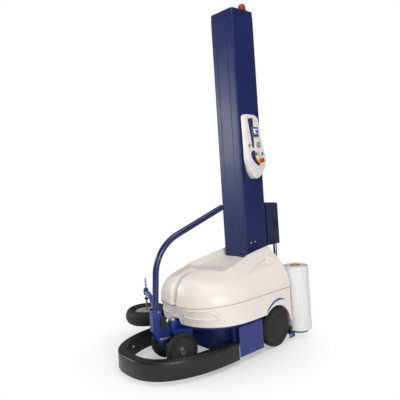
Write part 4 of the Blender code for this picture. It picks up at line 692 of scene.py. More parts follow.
# ================================================================ lower cover
# Vacuum-formed cream ABS skirt round the machine: a rolled bead along its lower edge, a
# lipped wheel arch and a shallow grip recess near the nose on each side.
formed_abs = surface("vacuum_formed_abs_cream", "E9E2DC", "E5DDD6", 0.30, 6, 0.02, patch=300,
                     uneven=0.015, IOR=1.53, Specular_IOR_Level=0.45)
COVER_HALF, COVER_REAR, COVER_NOSE, SKIRT_NOSE = 0.386, 1.275, 0.415, 0.465
SKIRT_LOW, SKIRT_TAIL, ARCH_R, MAST_WAY = 0.266, 0.165, 0.161, 0.129
NOSE_WAY_HALF, NOSE_WAY_TOP = 0.0352, 0.308
ABS_SHEET, SEAM_GAP = 0.005, 0.0008      # the formed wall, and each cover's half of the seam


def seam_height(x):
    """Height of the joint between skirt and hood."""
    run = min(max((x - COVER_NOSE) / NOSE_LENGTH, 0), 1)
    return 0.418 - 0.022 * (1 - run) ** 2


def smooth(value, low, high):
    """Rises from 0 to 1 between two values, level at both ends."""
    t = min(max((value - low) / (high - low), 0), 1)
    return t * t * (3 - 2 * t)


def skirt_bottom(x, y):
    """Height of the skirt's lower edge, over the arch and the nose opening too."""
    if abs(y) < NOSE_WAY_HALF + 0.010 and x < 0.6:
        return SKIRT_LOW + (NOSE_WAY_TOP - SKIRT_LOW) * (1 - smooth(abs(y), NOSE_WAY_HALF,
                                                                   NOSE_WAY_HALF + 0.010))
    off = abs(x - REAR_AXLE.x)
    arch = REAR_AXLE.z + math.sqrt(max(ARCH_R ** 2 - off ** 2, 0)) if abs(y) > WELL[1] else 0
    return max(arch, SKIRT_LOW if x < REAR_AXLE.x else SKIRT_TAIL)


def evenly(plan, spacing):
    """Points spaced evenly along an open plan, its corners kept as near as the step."""
    plan = [Vector(point) for point in plan]
    made, left = [plan[0]], spacing
    for here, there in zip(plan, plan[1:]):
        length = (there - here).length
        at_length = left
        while at_length < length:
            made.append(here.lerp(there, at_length / length))
            at_length += spacing
        left = at_length - length
    return made + [plan[-1]]


SKIRT_STEP = 0.0045
top_plan = nose_plan(COVER_NOSE, COVER_HALF, NOSE_LENGTH, NOSE_POWER, COVER_REAR, 400)
skirt_top = evenly(top_plan, SKIRT_STEP)
# The grip recess as (distance from the centre plane, height), with its pointed rear end.
grip = [(0.082, 0.331), (0.134, 0.374), (0.270, 0.381), (0.300, 0.355), (0.314, 0.3215),
        (0.197, 0.3225)]
grip = rounded(grip, 0.010)


def inside_by(point, outline):
    """Distance from an outline's edge, positive inside it."""
    best, inside = 1e9, False
    px, py = point
    for (x0, y0), (x1, y1) in zip(outline, outline[1:] + outline[:1]):
        dx, dy = x1 - x0, y1 - y0
        t = min(max(((px - x0) * dx + (py - y0) * dy) / (dx * dx + dy * dy + 1e-12), 0), 1)
        best = min(best, math.hypot(px - x0 - t * dx, py - y0 - t * dy))
        if (y0 > py) != (y1 > py) and px < x0 + (py - y0) * dx / dy:
            inside = not inside
    return best if inside else -best


SKIRT_ROWS = 36
GRIP_DEPTH = 0.010
skirt_loops = []
for index, top in enumerate(skirt_top):
    before, after = skirt_top[max(index - 1, 0)], skirt_top[min(index + 1, len(skirt_top) - 1)]
    ahead = (after - before).normalized()
    out = Vector((ahead.y, -ahead.x))
    if out.dot(top - Vector((0.95, 0))) < 0:
        out = -out
    share = min(max((NOSE_LENGTH - (top.x - COVER_NOSE)) / NOSE_LENGTH, 0), 1)
    high = seam_height(top.x) - SEAM_GAP
    low = skirt_bottom(top.x, top.y)
    arch_here = low > SKIRT_LOW + 0.001 and top.x > 0.9
    outer = []
    for row in range(SKIRT_ROWS + 1):
        z = high + (low - high) * row / SKIRT_ROWS
        inward = (SKIRT_NOSE - COVER_NOSE) * share ** 1.2 * (high - z) / (high - SKIRT_TAIL)
        bulge = 0.0
        if top.x < 0.75:
            depth = inside_by((abs(top.y), z), grip)
            bulge = -GRIP_DEPTH * smooth(depth, 0.0, 0.010) + 0.0032 * math.exp(
                -((depth + 0.002) / 0.004) ** 2)
        edge_in = 0.0025 * (1 - smooth(high - z, 0, 0.003))
        bead = 0.0022 * math.exp(-((z - low - 0.006) / 0.0045) ** 2)
        place = top + out * (bulge + bead - edge_in)
        outer.append((place.x + inward, place.y, z))
    reach = 0.022 if arch_here else 0.010
    foot = outer[-1]
    lip = [(foot[0] - out.x * reach * s, foot[1] - out.y * reach * s, low + lift)
           for s, lift in ((0.15, -0.0012), (1.0, -0.0012), (1.0, 0.0025), (0.35, 0.0025))]
    head = outer[0]
    inner_top = (head[0] - out.x * 0.004, head[1] - out.y * 0.004, high)
    inner_low = (foot[0] - out.x * 0.005, foot[1] - out.y * 0.005, low + 0.003)
    skirt_loops.append(outer + lip[:3] + [inner_low, inner_top])
piece("skirt_shell", *skin_over(skirt_loops), formed_abs, "chassis", "lower_cover", crease=60)
for name, hand in SIDES:
    span = [(hand * MAST_WAY, SKIRT_TAIL), (hand * COVER_HALF, SKIRT_TAIL),
            (hand * COVER_HALF, seam_height(COVER_REAR) - SEAM_GAP),
            (hand * MAST_WAY, seam_height(COVER_REAR) - SEAM_GAP)]
    piece("skirt_back_" + name, *slab(rounded(span, 0.004), COVER_REAR - ABS_SHEET, COVER_REAR,
                                      "X"), formed_abs, "chassis", radius=0.001)

# A tan strip deep in the seam between skirt and hood stands for the shade in that gap: painted
# shade that shows as a fine line along the seam.
seam_shade_tan = surface("painted_seam_shade_tan", "A58E72", "97816A", 0.8, 1.2, 0.2, IOR=1.4)
SHADE_STRIP_IN, SHADE_STRIP_HALF, SHADE_STRIP_DEPTH = 0.0012, 0.0022, 0.006
shade_strip_plan = nose_plan(COVER_NOSE + SHADE_STRIP_IN, COVER_HALF - SHADE_STRIP_IN, NOSE_LENGTH, NOSE_POWER,
                        COVER_REAR - 0.002, 120)
shade_strip = []
for index, (x, y) in enumerate(shade_strip_plan):
    mid = seam_height(x)
    toward = Vector((0.9 - x, -y)).normalized()
    shade_strip.append([(x + toward.x * inset, y + toward.y * inset, mid + lift)
                   for inset, lift in ((0, -SHADE_STRIP_HALF), (0, SHADE_STRIP_HALF),
                                       (SHADE_STRIP_DEPTH, SHADE_STRIP_HALF),
                                       (SHADE_STRIP_DEPTH, -SHADE_STRIP_HALF))])
piece("seam_shade_strip", *skin_over(shade_strip), seam_shade_tan, "chassis")

# Cobalt vinyl stripes that follow the front and top of each wheel arch.
vinyl_cobalt = surface("cast_vinyl_cobalt", "24499E", "2A52A8", 0.3, 5, 0.03, IOR=1.48)
stripe_line = eased([(0.979, 0.257, 0.0), (1.007, 0.297, 0.0), (1.050, 0.330, 0.0),
                     (1.105, 0.350, 0.0), (1.159, 0.350, 0.0), (1.205, 0.332, 0.0)], 10)
for name, hand in SIDES:
    loops = []
    for index, point in enumerate(stripe_line):
        ahead = (stripe_line[min(index + 1, len(stripe_line) - 1)]
                 - stripe_line[max(index - 1, 0)]).normalized()
        out = Vector((-ahead.y, ahead.x))
        run = index / (len(stripe_line) - 1)
        half = 0.0085 * min(1, 0.15 + 4 * run) * min(1, 0.1 + 3 * (1 - run))
        loops.append([(point.x + out.x * wide, hand * (COVER_HALF + proud),
                       point.y + out.y * wide)
                      for wide, proud in ((-half, 0.0002), (-half, 0.0007), (half, 0.0007),
                                          (half, 0.0002))])
    piece("arch_stripe_" + name, *skin_over(loops), vinyl_cobalt, "chassis")

# ================================================================ upper hood
# Vacuum-formed cream ABS dome: a deep narrow channel up the nose opens into a dished
# valley towards the mast, with a crest and a triangular scoop pressed into each shoulder.
HOOD_LENGTH, DOME_POWER = COVER_REAR - COVER_NOSE, 2.05
VALLEY_DEPTH, CHANNEL_DEPTH, SCOOP_DEPTH, CREST_HEIGHT = 0.060, 0.056, 0.026, 0.014


def hood_base(x, angle):
    """The plain dome: a rounded arch across the machine at each station."""
    run = min(max((x - COVER_NOSE) / NOSE_LENGTH, 0), 1)
    half = COVER_HALF * max(1 - (1 - run) ** NOSE_POWER, 0) ** (1 / NOSE_POWER)
    start = min(max((x - COVER_NOSE) / 0.120, 0), 1)
    crown_height = 0.575 + 0.163 * ((x - COVER_NOSE) / HOOD_LENGTH) ** 0.8
    seam = seam_height(x) + SEAM_GAP
    height = (crown_height - seam) * max(1 - (1 - start) ** 2.6, 0) ** 0.5
    turn = math.cos(angle)
    y = half * math.copysign(abs(turn) ** (2 / DOME_POWER), turn)
    return Vector((x, y, seam + height * max(math.sin(angle), 0) ** (2 / DOME_POWER)))


VALLEY_EDGE = [(0.415, 0.040), (0.590, 0.050), (0.640, 0.110), (0.690, 0.175), (0.740, 0.218),
               (0.820, 0.216), (0.910, 0.198), (1.000, 0.180), (1.060, 0.172), (1.300, 0.168)]


def along_table(table, x):
    """A table's value at x, its corners blended over 50 mm."""
    total = 0
    for step in range(9):
        here = min(max(x + (step - 4) * 0.00625, table[0][0]), table[-1][0])
        for (x0, v0), (x1, v1) in zip(table, table[1:]):
            if here <= x1:
                total += v0 + (v1 - v0) * (here - x0) / (x1 - x0)
                break
    return total / 9


def pressed_in(x, y):
    """How deep the valley, the channel and the scoop are pressed at a place on the dome."""
    off = abs(y)
    edge = along_table(VALLEY_EDGE, x)
    soft = 0.110 - 0.094 * smooth(x, 0.66, 0.80)
    floor_depth = VALLEY_DEPTH * smooth(x, 0.615, 0.880)
    valley = floor_depth * (1 - smooth(off, edge - soft, edge)) * (0.72 + 0.28 * smooth(
        edge - off, 0, 0.12))
    channel_half = 0.030 + 0.008 * smooth(x, 0.43, 0.60)
    channel = CHANNEL_DEPTH * (1 - smooth(off, channel_half * 0.40, channel_half + 0.006)) * (
        1 - smooth(x, 0.585, 0.645))
    ledge = 0.006 * (1 - smooth(off, 0.03, 0.100)) * smooth(x, 0.600, 0.630) * (
        1 - smooth(x, 0.64, 0.78))
    run = (x - 0.844) / 0.325
    scoop = 0.0
    if run > -0.05:
        upper = 0.297 - 0.040 * min(run, 1)
        across = smooth(off, upper - 0.004, upper + 0.004) * (1 - smooth(off, 0.296, 0.304))
        tail = 1 - smooth(x - (off - 0.257), 1.166, 1.178)
        scoop = SCOOP_DEPTH * max(run, 0) * across * tail
    beyond = off - edge
    crest_width = 0.045 if beyond > 0 else 0.010
    crest = CREST_HEIGHT * math.exp(-(beyond / crest_width) ** 2) * smooth(x, 0.70, 0.80)
    return max(valley, channel + ledge) + scoop - crest


side_angle = math.acos((MAST_WAY / COVER_HALF) ** (DOME_POWER / 2))
ACROSS_SIDE, ACROSS_MID = 130, 50
angles = [side_angle * step / ACROSS_SIDE for step in range(ACROSS_SIDE)]
angles += [side_angle + (math.pi - 2 * side_angle) * step / ACROSS_MID
           for step in range(ACROSS_MID)]
angles += [math.pi - side_angle * (1 - step / ACROSS_SIDE) for step in range(ACROSS_SIDE + 1)]
# Cross-sections lie closer together at the nose, and evenly beside the mast.
NOSE_STATIONS, REAR_STATIONS, NOSE_RUN, MAST_STATION = 240, 60, 0.672, 1.087
stations = [COVER_NOSE + NOSE_RUN * (step / NOSE_STATIONS) ** 1.75
            for step in range(1, NOSE_STATIONS + 1)]
stations += [MAST_STATION + (COVER_REAR - MAST_STATION) * step / REAR_STATIONS
             for step in range(1, REAR_STATIONS + 1)]
hood_rows = []
for x in stations:
    row = []
    for angle in angles:
        here = hood_base(x, angle)
        reach = 0.0015
        along_x = (hood_base(min(x + reach, COVER_REAR), angle)
                   - hood_base(max(x - reach, COVER_NOSE), angle))
        along_a = hood_base(x, min(angle + 0.004, math.pi)) - hood_base(x, max(angle - 0.004, 0))
        normal = along_x.cross(along_a)
        normal = normal.normalized() if normal.length > 1e-12 else Vector((0, 0, 1))
        if normal.z < 0:
            normal = -normal
        if x > 1.20:
            normal = Vector((0, normal.y, max(normal.z, 0.05))).normalized()
        seam_fade = 0.5 + 0.5 * smooth(here.z - seam_height(x), 0.0, 0.030)
        turned_edge = 0.0025 * (1 - smooth(here.z - seam_height(x), 0.0, 0.0035))
        inward = Vector((0.9 - x, -here.y, 0)).normalized() if x < 0.9 else Vector(
            (0, -math.copysign(1, here.y), 0))
        row.append(tuple(here - normal * pressed_in(x, here.y) * seam_fade + inward * turned_edge))
    hood_rows.append(row)
count = len(angles)
hood_points = [(COVER_NOSE + 0.0012, 0, seam_height(COVER_NOSE) + SEAM_GAP)] + [
    point for row in hood_rows for point in row]
hood_faces = [(0, 1 + index, 2 + index) for index in range(count - 1)]
for row in range(len(stations) - 1):
    for index in range(count - 1):
        if stations[row] > MAST_STATION - 0.001 and ACROSS_SIDE <= index < ACROSS_SIDE + ACROSS_MID:
            continue
        near = 1 + row * count + index
        hood_faces.append((near, near + 1, near + 1 + count, near + count))
hood = piece("hood_shell", hood_points, hood_faces, formed_abs, "chassis", "upper_hood", crease=75)
wall = hood.modifiers.new("sheet thickness", "SOLIDIFY")
wall.thickness = ABS_SHEET
wall.offset = -1
for name, hand in SIDES:
    profile = [point for point in hood_rows[-1] if point[1] * hand >= MAST_WAY - 0.0001]
    if hand > 0:
        profile.reverse()
    foot_z = seam_height(COVER_REAR) + SEAM_GAP
    face = [(y, z - 0.0015) for _, y, z in profile[:-1]]
    face += [(profile[-1][1], foot_z), (hand * MAST_WAY, foot_z)]
    piece("hood_back_" + name, *slab(face, COVER_REAR - ABS_SHEET, COVER_REAR - 0.0003, "X"),
          formed_abs, "chassis")

# ================================================================ mast
# A folded steel column, powder-coated cobalt, with two pressed grooves down its front and
# a slot down its back for the carriage's necks; its foot plate is bolted to the deck.
powder_coat_mast = surface("powder_coated_steel_mast", "101D52", "14245C", 0.38, 4, 0.09, patch=200,
                           uneven=0.03, IOR=1.5, Specular_IOR_Level=0.38)
MAST_FRONT, MAST_REAR, MAST_HALF, MAST_TOP, MAST_LOW = 1.090, 1.342, 0.126, 2.622, 0.268
FOLD_R, MAST_WALL, SLOT_HALF = 0.011, 0.003, 0.032
SLOT_LOW, SLOT_HIGH = 0.303, 2.488


def fold(x, y, turn_x, turn_y, radius, steps=8):
    """A rounded fold at a corner, from the side that faces turn_y to the one facing turn_x."""
    return [(x - turn_x * radius * (1 - math.sin(math.pi / 2 * step / steps)),
             y - turn_y * radius * (1 - math.cos(math.pi / 2 * step / steps)))
            for step in range(steps + 1)]


grooves = []
for middle in (0.070, -0.050):
    grooves += [(MAST_FRONT, middle + 0.0065), (MAST_FRONT + 0.0045, middle + 0.0035),
                (MAST_FRONT + 0.0045, middle - 0.0035), (MAST_FRONT, middle - 0.0065)]
outer = [(MAST_REAR, SLOT_HALF)] + fold(MAST_REAR, MAST_HALF, 1, 1, FOLD_R)[::-1]
outer += fold(MAST_FRONT, MAST_HALF, -1, 1, FOLD_R) + grooves
outer += fold(MAST_FRONT, -MAST_HALF, -1, -1, FOLD_R)[::-1]
outer += fold(MAST_REAR, -MAST_HALF, 1, -1, FOLD_R) + [(MAST_REAR, -SLOT_HALF)]
room_half, room_r = MAST_HALF - MAST_WALL, FOLD_R - MAST_WALL
room_front, room_rear = MAST_FRONT + MAST_WALL, MAST_REAR - MAST_WALL
inner = [(room_rear, -SLOT_HALF)] + fold(room_rear, -room_half, 1, -1, room_r)[::-1]
inner += fold(room_front, -room_half, -1, -1, room_r)
inner += [(x + MAST_WALL, y) for x, y in reversed(grooves)]
inner += fold(room_front, room_half, -1, 1, room_r)[::-1]
inner += fold(room_rear, room_half, 1, 1, room_r) + [(room_rear, SLOT_HALF)]
piece("mast_shell", *slab(outer + inner, MAST_LOW - 0.006, MAST_TOP), powder_coat_mast, "chassis",
      "mast_column", crease=30)
for name, low, high in (("low", MAST_LOW, SLOT_LOW), ("high", SLOT_HIGH, MAST_TOP)):
    piece("mast_web_" + name, *block((room_rear, -SLOT_HALF - 0.004, low),
                                     (MAST_REAR - 0.0003, SLOT_HALF + 0.004, high)),
          powder_coat_mast, "chassis")
FOOT_HALF, FOOT_BOLT_Y = 0.156, 0.141
foot_outline = rounded([(1.060, -FOOT_HALF), (1.267, -FOOT_HALF), (1.267, FOOT_HALF),
                        (1.060, FOOT_HALF)], 0.010)
piece("mast_foot", *slab(foot_outline, 0.2563, MAST_LOW), powder_coat_cobalt, "chassis",
      radius=0.0015)
for count, (x, y) in enumerate(((1.075, -FOOT_BOLT_Y), (1.075, FOOT_BOLT_Y),
                                (1.235, -FOOT_BOLT_Y), (1.235, FOOT_BOLT_Y))):
    screw("foot_bolt_%d" % count, (x, y, MAST_LOW), (0, 0, 1), "chassis", 0.009)
for count, (x, z) in enumerate(((1.144, 0.761), (1.194, 0.763))):
    for name, hand in SIDES:
        screw("mast_bolt_%s_%d" % (name, count), (x, hand * MAST_HALF, z), (0, hand, 0), "chassis",
              0.0085)

# ================================================================ mast cap and beacon
# A welded steel cap slipped over the column's top; a blinking beacon of ribbed amber
# polycarbonate stands on it on a black moulded base.
CAP_LOW, CAP_HIGH, CAP_LIP = 2.617, 2.668, 0.0025


def cap_plan(inset):
    """The cap's plan, drawn in from its widest outline."""
    return rounded([(MAST_REAR + CAP_LIP - inset, MAST_HALF + CAP_LIP - inset),
                    (MAST_FRONT - CAP_LIP + inset, MAST_HALF + CAP_LIP - inset),
                    (MAST_FRONT - CAP_LIP + inset, inset - MAST_HALF - CAP_LIP),
                    (MAST_REAR + CAP_LIP - inset, inset - MAST_HALF - CAP_LIP)],
                   0.030 - min(inset, 0.02), 8)


cap_loops = []
for inset, height in ((0.0035, CAP_LOW + 0.004), (0.0035, CAP_LOW), (0, CAP_LOW),
                      (0, CAP_HIGH - 0.009), (0.0012, CAP_HIGH - 0.0045),
                      (0.0042, CAP_HIGH - 0.0014), (0.009, CAP_HIGH)):
    cap_loops.append([(x, y, height) for x, y in cap_plan(inset)])
piece("cap_shell", *skin_over(cap_loops), powder_coat_navy, "chassis", "mast_cap", crease=50)
BEACON = (1.269, -0.075, 0)
base = [(0, 2.6683), (0.0325, 2.6683), (0.0345, 2.6700), (0.0345, 2.6800), (0.0335, 2.6840),
        (0, 2.6843)]
piece("beacon_ring", *turned(base, centre=BEACON), plug_plastic, "chassis", "beacon_base")
amber_lens = surface("moulded_polycarbonate_amber", "963800", "7C2C00", 0.3, 1.5, 0.02, patch=20,
                     IOR=1.58, Specular_IOR_Level=0.25)
lens_loops = []
LENS_RIBS = 28
for step in range(LENS_RIBS * 4):
    angle = 2 * math.pi * step / (LENS_RIBS * 4)
    rib = (0.0006, 0.0, -0.0006, 0.0)[step % 4]
    ring = [(0.0005, 2.6846), (0.0300 + rib, 2.6846), (0.0302 + rib, 2.700), (0.0292 + rib, 2.714),
            (0.0262 + rib * 0.8, 2.7245), (0.0205 + rib * 0.5, 2.7315), (0.0125, 2.7358),
            (0.005, 2.7372), (0.0005, 2.7373)]
    lens_loops.append([(BEACON[0] + radius * math.cos(angle),
                        BEACON[1] + radius * math.sin(angle), z) for radius, z in ring])
piece("beacon_dome", *skin_over(lens_loops, ring=True), amber_lens, "chassis", "beacon_lens",
      crease=60)

# ================================================================ lift drive
# Inside the column, seen through its slot: a reinforced rubber belt on two zinc-plated
# pulleys, driven by the gearmotor.
belt_rubber = surface("reinforced_belt_rubber", "1C1C1D", "2C2B2A", 0.7, 1.5, 0.15, patch=40,
                      IOR=1.52)
coat(belt_rubber, "lift_belt")
coat(zinc_plate, "drive_pulley", "top_pulley")

# ================================================================ control panel
# A tapered moulded ABS housing, satin cream, screwed to a painted backing strip on the
# mast's left side.  Its face is a smooth slope with softly rounded edges all round.
panel_abs = surface("moulded_abs_satin_cream", "DFDAD7", "D8D2CF", 0.36, 2, 0.03, patch=160,
                    uneven=0.02, IOR=1.53, Specular_IOR_Level=0.45)
PANEL_LOW, PANEL_HIGH, PANEL_BACK = 1.274, 1.798, -0.1386
BUTTON_Z, STOP_AT, KEY_AT = 1.474, (1.240, 1.420), (1.128, 1.542)
BUTTON_X = {"start": 1.204, "reset": 1.239, "mode": 1.274}
front, rear, high, low = 1.104, 1.314, PANEL_HIGH, PANEL_LOW
panel_outline = [(front, high - 0.020), (front + 0.012, high - 0.004), (front + 0.045, high),
                 (rear - 0.075, high - 0.004), (rear - 0.045, high - 0.022),
                 (rear - 0.034, high - 0.060), (rear - 0.028, high - 0.200),
                 (rear, high - 0.330), (rear, high - 0.400), (rear - 0.014, high - 0.440),
                 (rear - 0.085, low + 0.012), (rear - 0.120, low), (front + 0.062, low + 0.010),
                 (front + 0.030, low + 0.060), (front + 0.006, low + 0.150)]
strip_outline = [(front + 0.006, high - 0.006), (front + 0.006, low + 0.006),
                 (rear - 0.120, low + 0.006), (rear - 0.006, low + 0.130),
                 (rear - 0.006, high - 0.320), (rear - 0.060, high - 0.006)]


def panel_face(z):
    """How far out the panel's face is at a height: it gets thicker toward the foot."""
    drop = max(PANEL_HIGH - z, 0) / (PANEL_HIGH - PANEL_LOW)
    return PANEL_BACK - 0.030 - 0.032 * drop ** 0.8


def width_at(outline, z):
    """Where an outline's left and right sides are at a height."""
    crossings = []
    for (x0, z0), (x1, z1) in zip(outline, outline[1:] + outline[:1]):
        if (z0 - z) * (z1 - z) <= 0 and z0 != z1:
            crossings.append(x0 + (x1 - x0) * (z - z0) / (z1 - z0))
    return min(crossings), max(crossings)


def faced(outline, front, back, rows=40, columns=24, soft=0.0):
    """A plate whose front follows front(z), its rim rounded back by soft; the rear is flat
    at back(z)."""
    top, bottom = max(z for _, z in outline), min(z for _, z in outline)
    levels = [bottom + (top - bottom)
              * (0.5 - 0.5 * math.cos(math.pi * (row + 0.02) / (rows + 0.04)))
              for row in range(rows + 1)]
    grid = []
    for z in levels:
        left, right = width_at(outline, z)
        row = []
        for column in range(columns + 1):
            x = left + (right - left) * (0.5 - 0.5 * math.cos(math.pi * column / columns))
            deep = max(inside_by((x, z), outline), 0)
            curve = max(soft ** 2 - (soft - min(deep, soft)) ** 2, 0)
            fall = soft - math.sqrt(curve) if soft else 0
            row.append((x, front(z) + fall, z))
        grid.append(row)
    points = [point for row in grid for point in row]
    wide = columns + 1
    faces = [(row * wide + c, row * wide + c + 1, (row + 1) * wide + c + 1, (row + 1) * wide + c)
             for row in range(rows) for c in range(columns)]
    rim = list(range(wide)) + [row * wide + columns for row in range(1, rows + 1)]
    rim += [rows * wide + c for c in range(columns - 1, -1, -1)]
    rim += [row * wide for row in range(rows - 1, 0, -1)]
    shift = len(points)
    points += [(points[index][0], back(points[index][2]), points[index][2]) for index in rim]
    for step in range(len(rim)):
        on = (step + 1) % len(rim)
        faces.append((rim[step], rim[on], shift + on, shift + step))
    faces.append(tuple(shift + step for step in range(len(rim))))
    return points, faces


def bored(target, holes, reach):
    """Bores round holes (x, z, radius) along Y into a piece, from its face to reach."""
    points, faces = [], []
    for x, z, radius in holes:
        ends = [(*point, level) for level in (reach, -0.3) for point in circle(radius, 40, (x, z))]
        shift = len(points)
        points += [MACHINE @ Vector((a, level, b)) for a, b, level in ends]
        faces += [tuple(shift + index for index in face)
                  for face in skin_over([range(40), range(40)])[1]]
    cutter_mesh = bpy.data.meshes.new("drill")
    cutter_mesh.from_pydata(points, [], faces)
    work = bmesh.new()
    work.from_mesh(cutter_mesh)
    bmesh.ops.recalc_face_normals(work, faces=work.faces)
    work.to_mesh(cutter_mesh)
    work.free()
    drill = bpy.data.objects.new("drill", cutter_mesh)
    bpy.context.scene.collection.objects.link(drill)
    cut = target.modifiers.new("bored holes", "BOOLEAN")
    cut.object, cut.operation, cut.solver = drill, "DIFFERENCE", "EXACT"
    bpy.context.view_layer.update()
    finished = target.evaluated_get(bpy.context.evaluated_depsgraph_get())
    done = bpy.data.meshes.new_from_object(finished)
    target.modifiers.clear()
    target.data = done
    bpy.data.objects.remove(drill)


shell = piece("panel_shell", *faced(rounded(panel_outline, 0.120, 8), panel_face,
                                    lambda z: PANEL_BACK, 110, 44, soft=0.012),
              panel_abs, "chassis", "panel_housing", crease=60)
bored(shell, [(x, BUTTON_Z, 0.0104) for x in BUTTON_X.values()]
      + [(*STOP_AT, 0.0090), (*KEY_AT, 0.0108)], -0.152)
shell.data.set_sharp_from_angle(angle=math.radians(60))
piece("panel_strip", *slab(rounded(strip_outline, 0.010), -0.1383, -0.1263, "Y"), powder_coat_navy,
      "chassis", "panel_back", radius=0.001)
for count, (x, z) in enumerate(((1.130, 1.770), (1.132, 1.655), (1.132, 1.496), (1.195, 1.300))):
    screw("panel_screw_%d" % count, (x, panel_face(z) - 0.0002, z), (0, -1, 0), "chassis", 0.0042)

# ================================================================ panel overlays
# Printed polycarbonate labels let into the housing's face: a tapered navy inlay, a
# half-moon round the emergency stop, and a red indicator lamp above the display.
overlay_navy = surface("printed_polycarbonate_navy", "1E2A55", "243061", 0.28, 3, 0.02, IOR=1.58)


def overlay(name, outline, skin, lift=0.0004, stands_for=None, soft=0.0):
    """A thin plate let into the panel's face, standing lift proud of it."""
    return piece(name, *faced(outline, lambda z: panel_face(z) - lift,
                              lambda z: panel_face(z) + 0.0015, 24, 10, soft), skin, "chassis",
                 stands_for, crease=50)


inlay = [(1.143, 1.764), (1.206, 1.766), (1.184, 1.523), (1.166, 1.523)]
overlay("navy_inlay", rounded(inlay, 0.008), overlay_navy)
moon = [(1.196, 1.500), (1.160, 1.503), (1.140, 1.478), (1.148, 1.440), (1.180, 1.400),
        (1.222, 1.374), (1.240, 1.392), (1.205, 1.424), (1.190, 1.455)]
overlay("navy_half_moon", rounded(moon, 0.040, 6), overlay_navy)
lamp_red = surface("moulded_acrylic_red", "C32326", "A81B1E", 0.15, 1, 0.01, patch=8, IOR=1.49,
                   Coat_Weight=0.4)
lamp_dome = [(0.0002, -0.0005), (0.0046, -0.0005), (0.0046, 0.0012), (0.0038, 0.0034),
             (0.0020, 0.0046), (0.0002, 0.0050)]
LAMP_AT = (1.227, 1.741)
lamp_dome = [(radius, panel_face(LAMP_AT[1]) - height) for radius, height in lamp_dome]
piece("indicator_lamp", *turned(lamp_dome, "Y", (LAMP_AT[0], 0, LAMP_AT[1]), 32), lamp_red,
      "chassis")

# ================================================================ display
# A small screen behind a flat glass window in a grey moulded bezel; a dark green border is
# printed behind the glass round a blue and white graphic area.
bezel_grey = surface("moulded_abs_bezel_grey", "5C6068", "686C74", 0.42, 1.5, 0.04, patch=60,
                     IOR=1.53)
SCREEN_X, SCREEN_Z, SCREEN_HALF_W, SCREEN_HALF_H = 1.214, 1.652, 0.038, 0.041


def framed(half_w, half_h, radius):
    """A rounded rectangle about the screen's middle."""
    return rounded([(SCREEN_X - half_w, SCREEN_Z - half_h), (SCREEN_X + half_w, SCREEN_Z - half_h),
                    (SCREEN_X + half_w, SCREEN_Z + half_h), (SCREEN_X - half_w, SCREEN_Z + half_h)],
                   radius)


overlay("display_bezel", framed(SCREEN_HALF_W, SCREEN_HALF_H, 0.006), bezel_grey, 0.0060,
        stands_for="display", soft=0.003)
glass_print, tree, shader = finish("printed_display_glass", Roughness=0.06, IOR=1.52,
                                   Coat_Weight=0.3, Coat_Roughness=0.03)
place = add(tree, "TexCoord").outputs["Object"]
apart = add(tree, "SeparateXYZ", {0: place})
screen_at = MACHINE @ Vector((SCREEN_X, 0, SCREEN_Z))


def within(low, high, value):
    """1 where a coordinate is between two marks."""
    above = add(tree, "Math", {0: value, 1: low}, operation="GREATER_THAN")
    below = add(tree, "Math", {0: value, 1: high}, operation="LESS_THAN")
    return add(tree, "Math", {0: above.outputs[0], 1: below.outputs[0]},
               operation="MULTIPLY").outputs[0]


def area(left, right, low, high):
    """1 inside a rectangle on the screen, given from the screen's middle."""
    across = within(screen_at.x + left, screen_at.x + right, apart.outputs["X"])
    upward = within(screen_at.z + low, screen_at.z + high, apart.outputs["Z"])
    return add(tree, "Math", {0: across, 1: upward}, operation="MULTIPLY").outputs[0]


grain = add(tree, "TexNoise", {"Vector": place, "Scale": 400.0, "Detail": 2.0})
border = add(tree, "Mix", {0: grain.outputs["Fac"], 6: linear("17241F"), 7: linear("1E2E28")},
             data_type="RGBA")
layer = border.outputs[2]
for code, spot in (("4E6FB4", (-0.026, 0.026, -0.024, 0.026)),
                   ("D9E2EE", (-0.026, 0.026, 0.016, 0.026)),
                   ("E6ECF4", (-0.021, 0.000, -0.004, 0.011)),
                   ("2A3F7C", (0.005, 0.021, -0.004, 0.011)),
                   ("DDE6F2", (-0.021, 0.021, -0.010, -0.007)),
                   ("DDE6F2", (-0.021, 0.010, -0.017, -0.014))):
    painted = add(tree, "Mix", {0: area(*spot), 6: layer, 7: linear(code)}, data_type="RGBA")
    layer = painted.outputs[2]
tree.links.new(layer, shader.inputs["Base Color"])
tree.links.new(layer, shader.inputs["Emission Color"])
shader.inputs["Emission Strength"].default_value = 0.25
overlay("display_window", framed(0.0315, 0.0345, 0.003), glass_print, 0.0066)

# ================================================================ keypad
# A round silicone-rubber pad of four arrow keys and a middle key in a satin chromed ring.
chromed_ring = surface("satin_chromed_ring", "B5B8BC", "989BA0", 0.28, 1, 0.01, patch=10,
                       Metallic=1.0)
silicone = surface("moulded_silicone_grey", "8C8D92", "7F8086", 0.6, 1.2, 0.05, patch=15,
                   IOR=1.41)
KEYS_AT = (1.240, 1.547)
keys_middle = (KEYS_AT[0], 0, KEYS_AT[1])
seat = panel_face(KEYS_AT[1])
ring = [(0.0215, seat + 0.001), (0.0255, seat + 0.001), (0.026, seat - 0.0022),
        (0.0245, seat - 0.0040), (0.0225, seat - 0.0040), (0.0215, seat - 0.0022)]
piece("keypad_ring", *turned(rounded(ring, 0.0008, 2), "Y", keys_middle), chromed_ring, "chassis",
      "keypad")
pad = [(0.0003, seat + 0.001), (0.0213, seat + 0.001), (0.0213, seat - 0.0018),
       (0.0195, seat - 0.0026), (0.0003, seat - 0.0032)]
piece("keypad_pad", *turned(pad, "Y", keys_middle), silicone, "chassis")
key_rubber = surface("moulded_silicone_pale", "C9CCD2", "B9BCC3", 0.5, 1.2, 0.04, patch=10,
                     IOR=1.41)
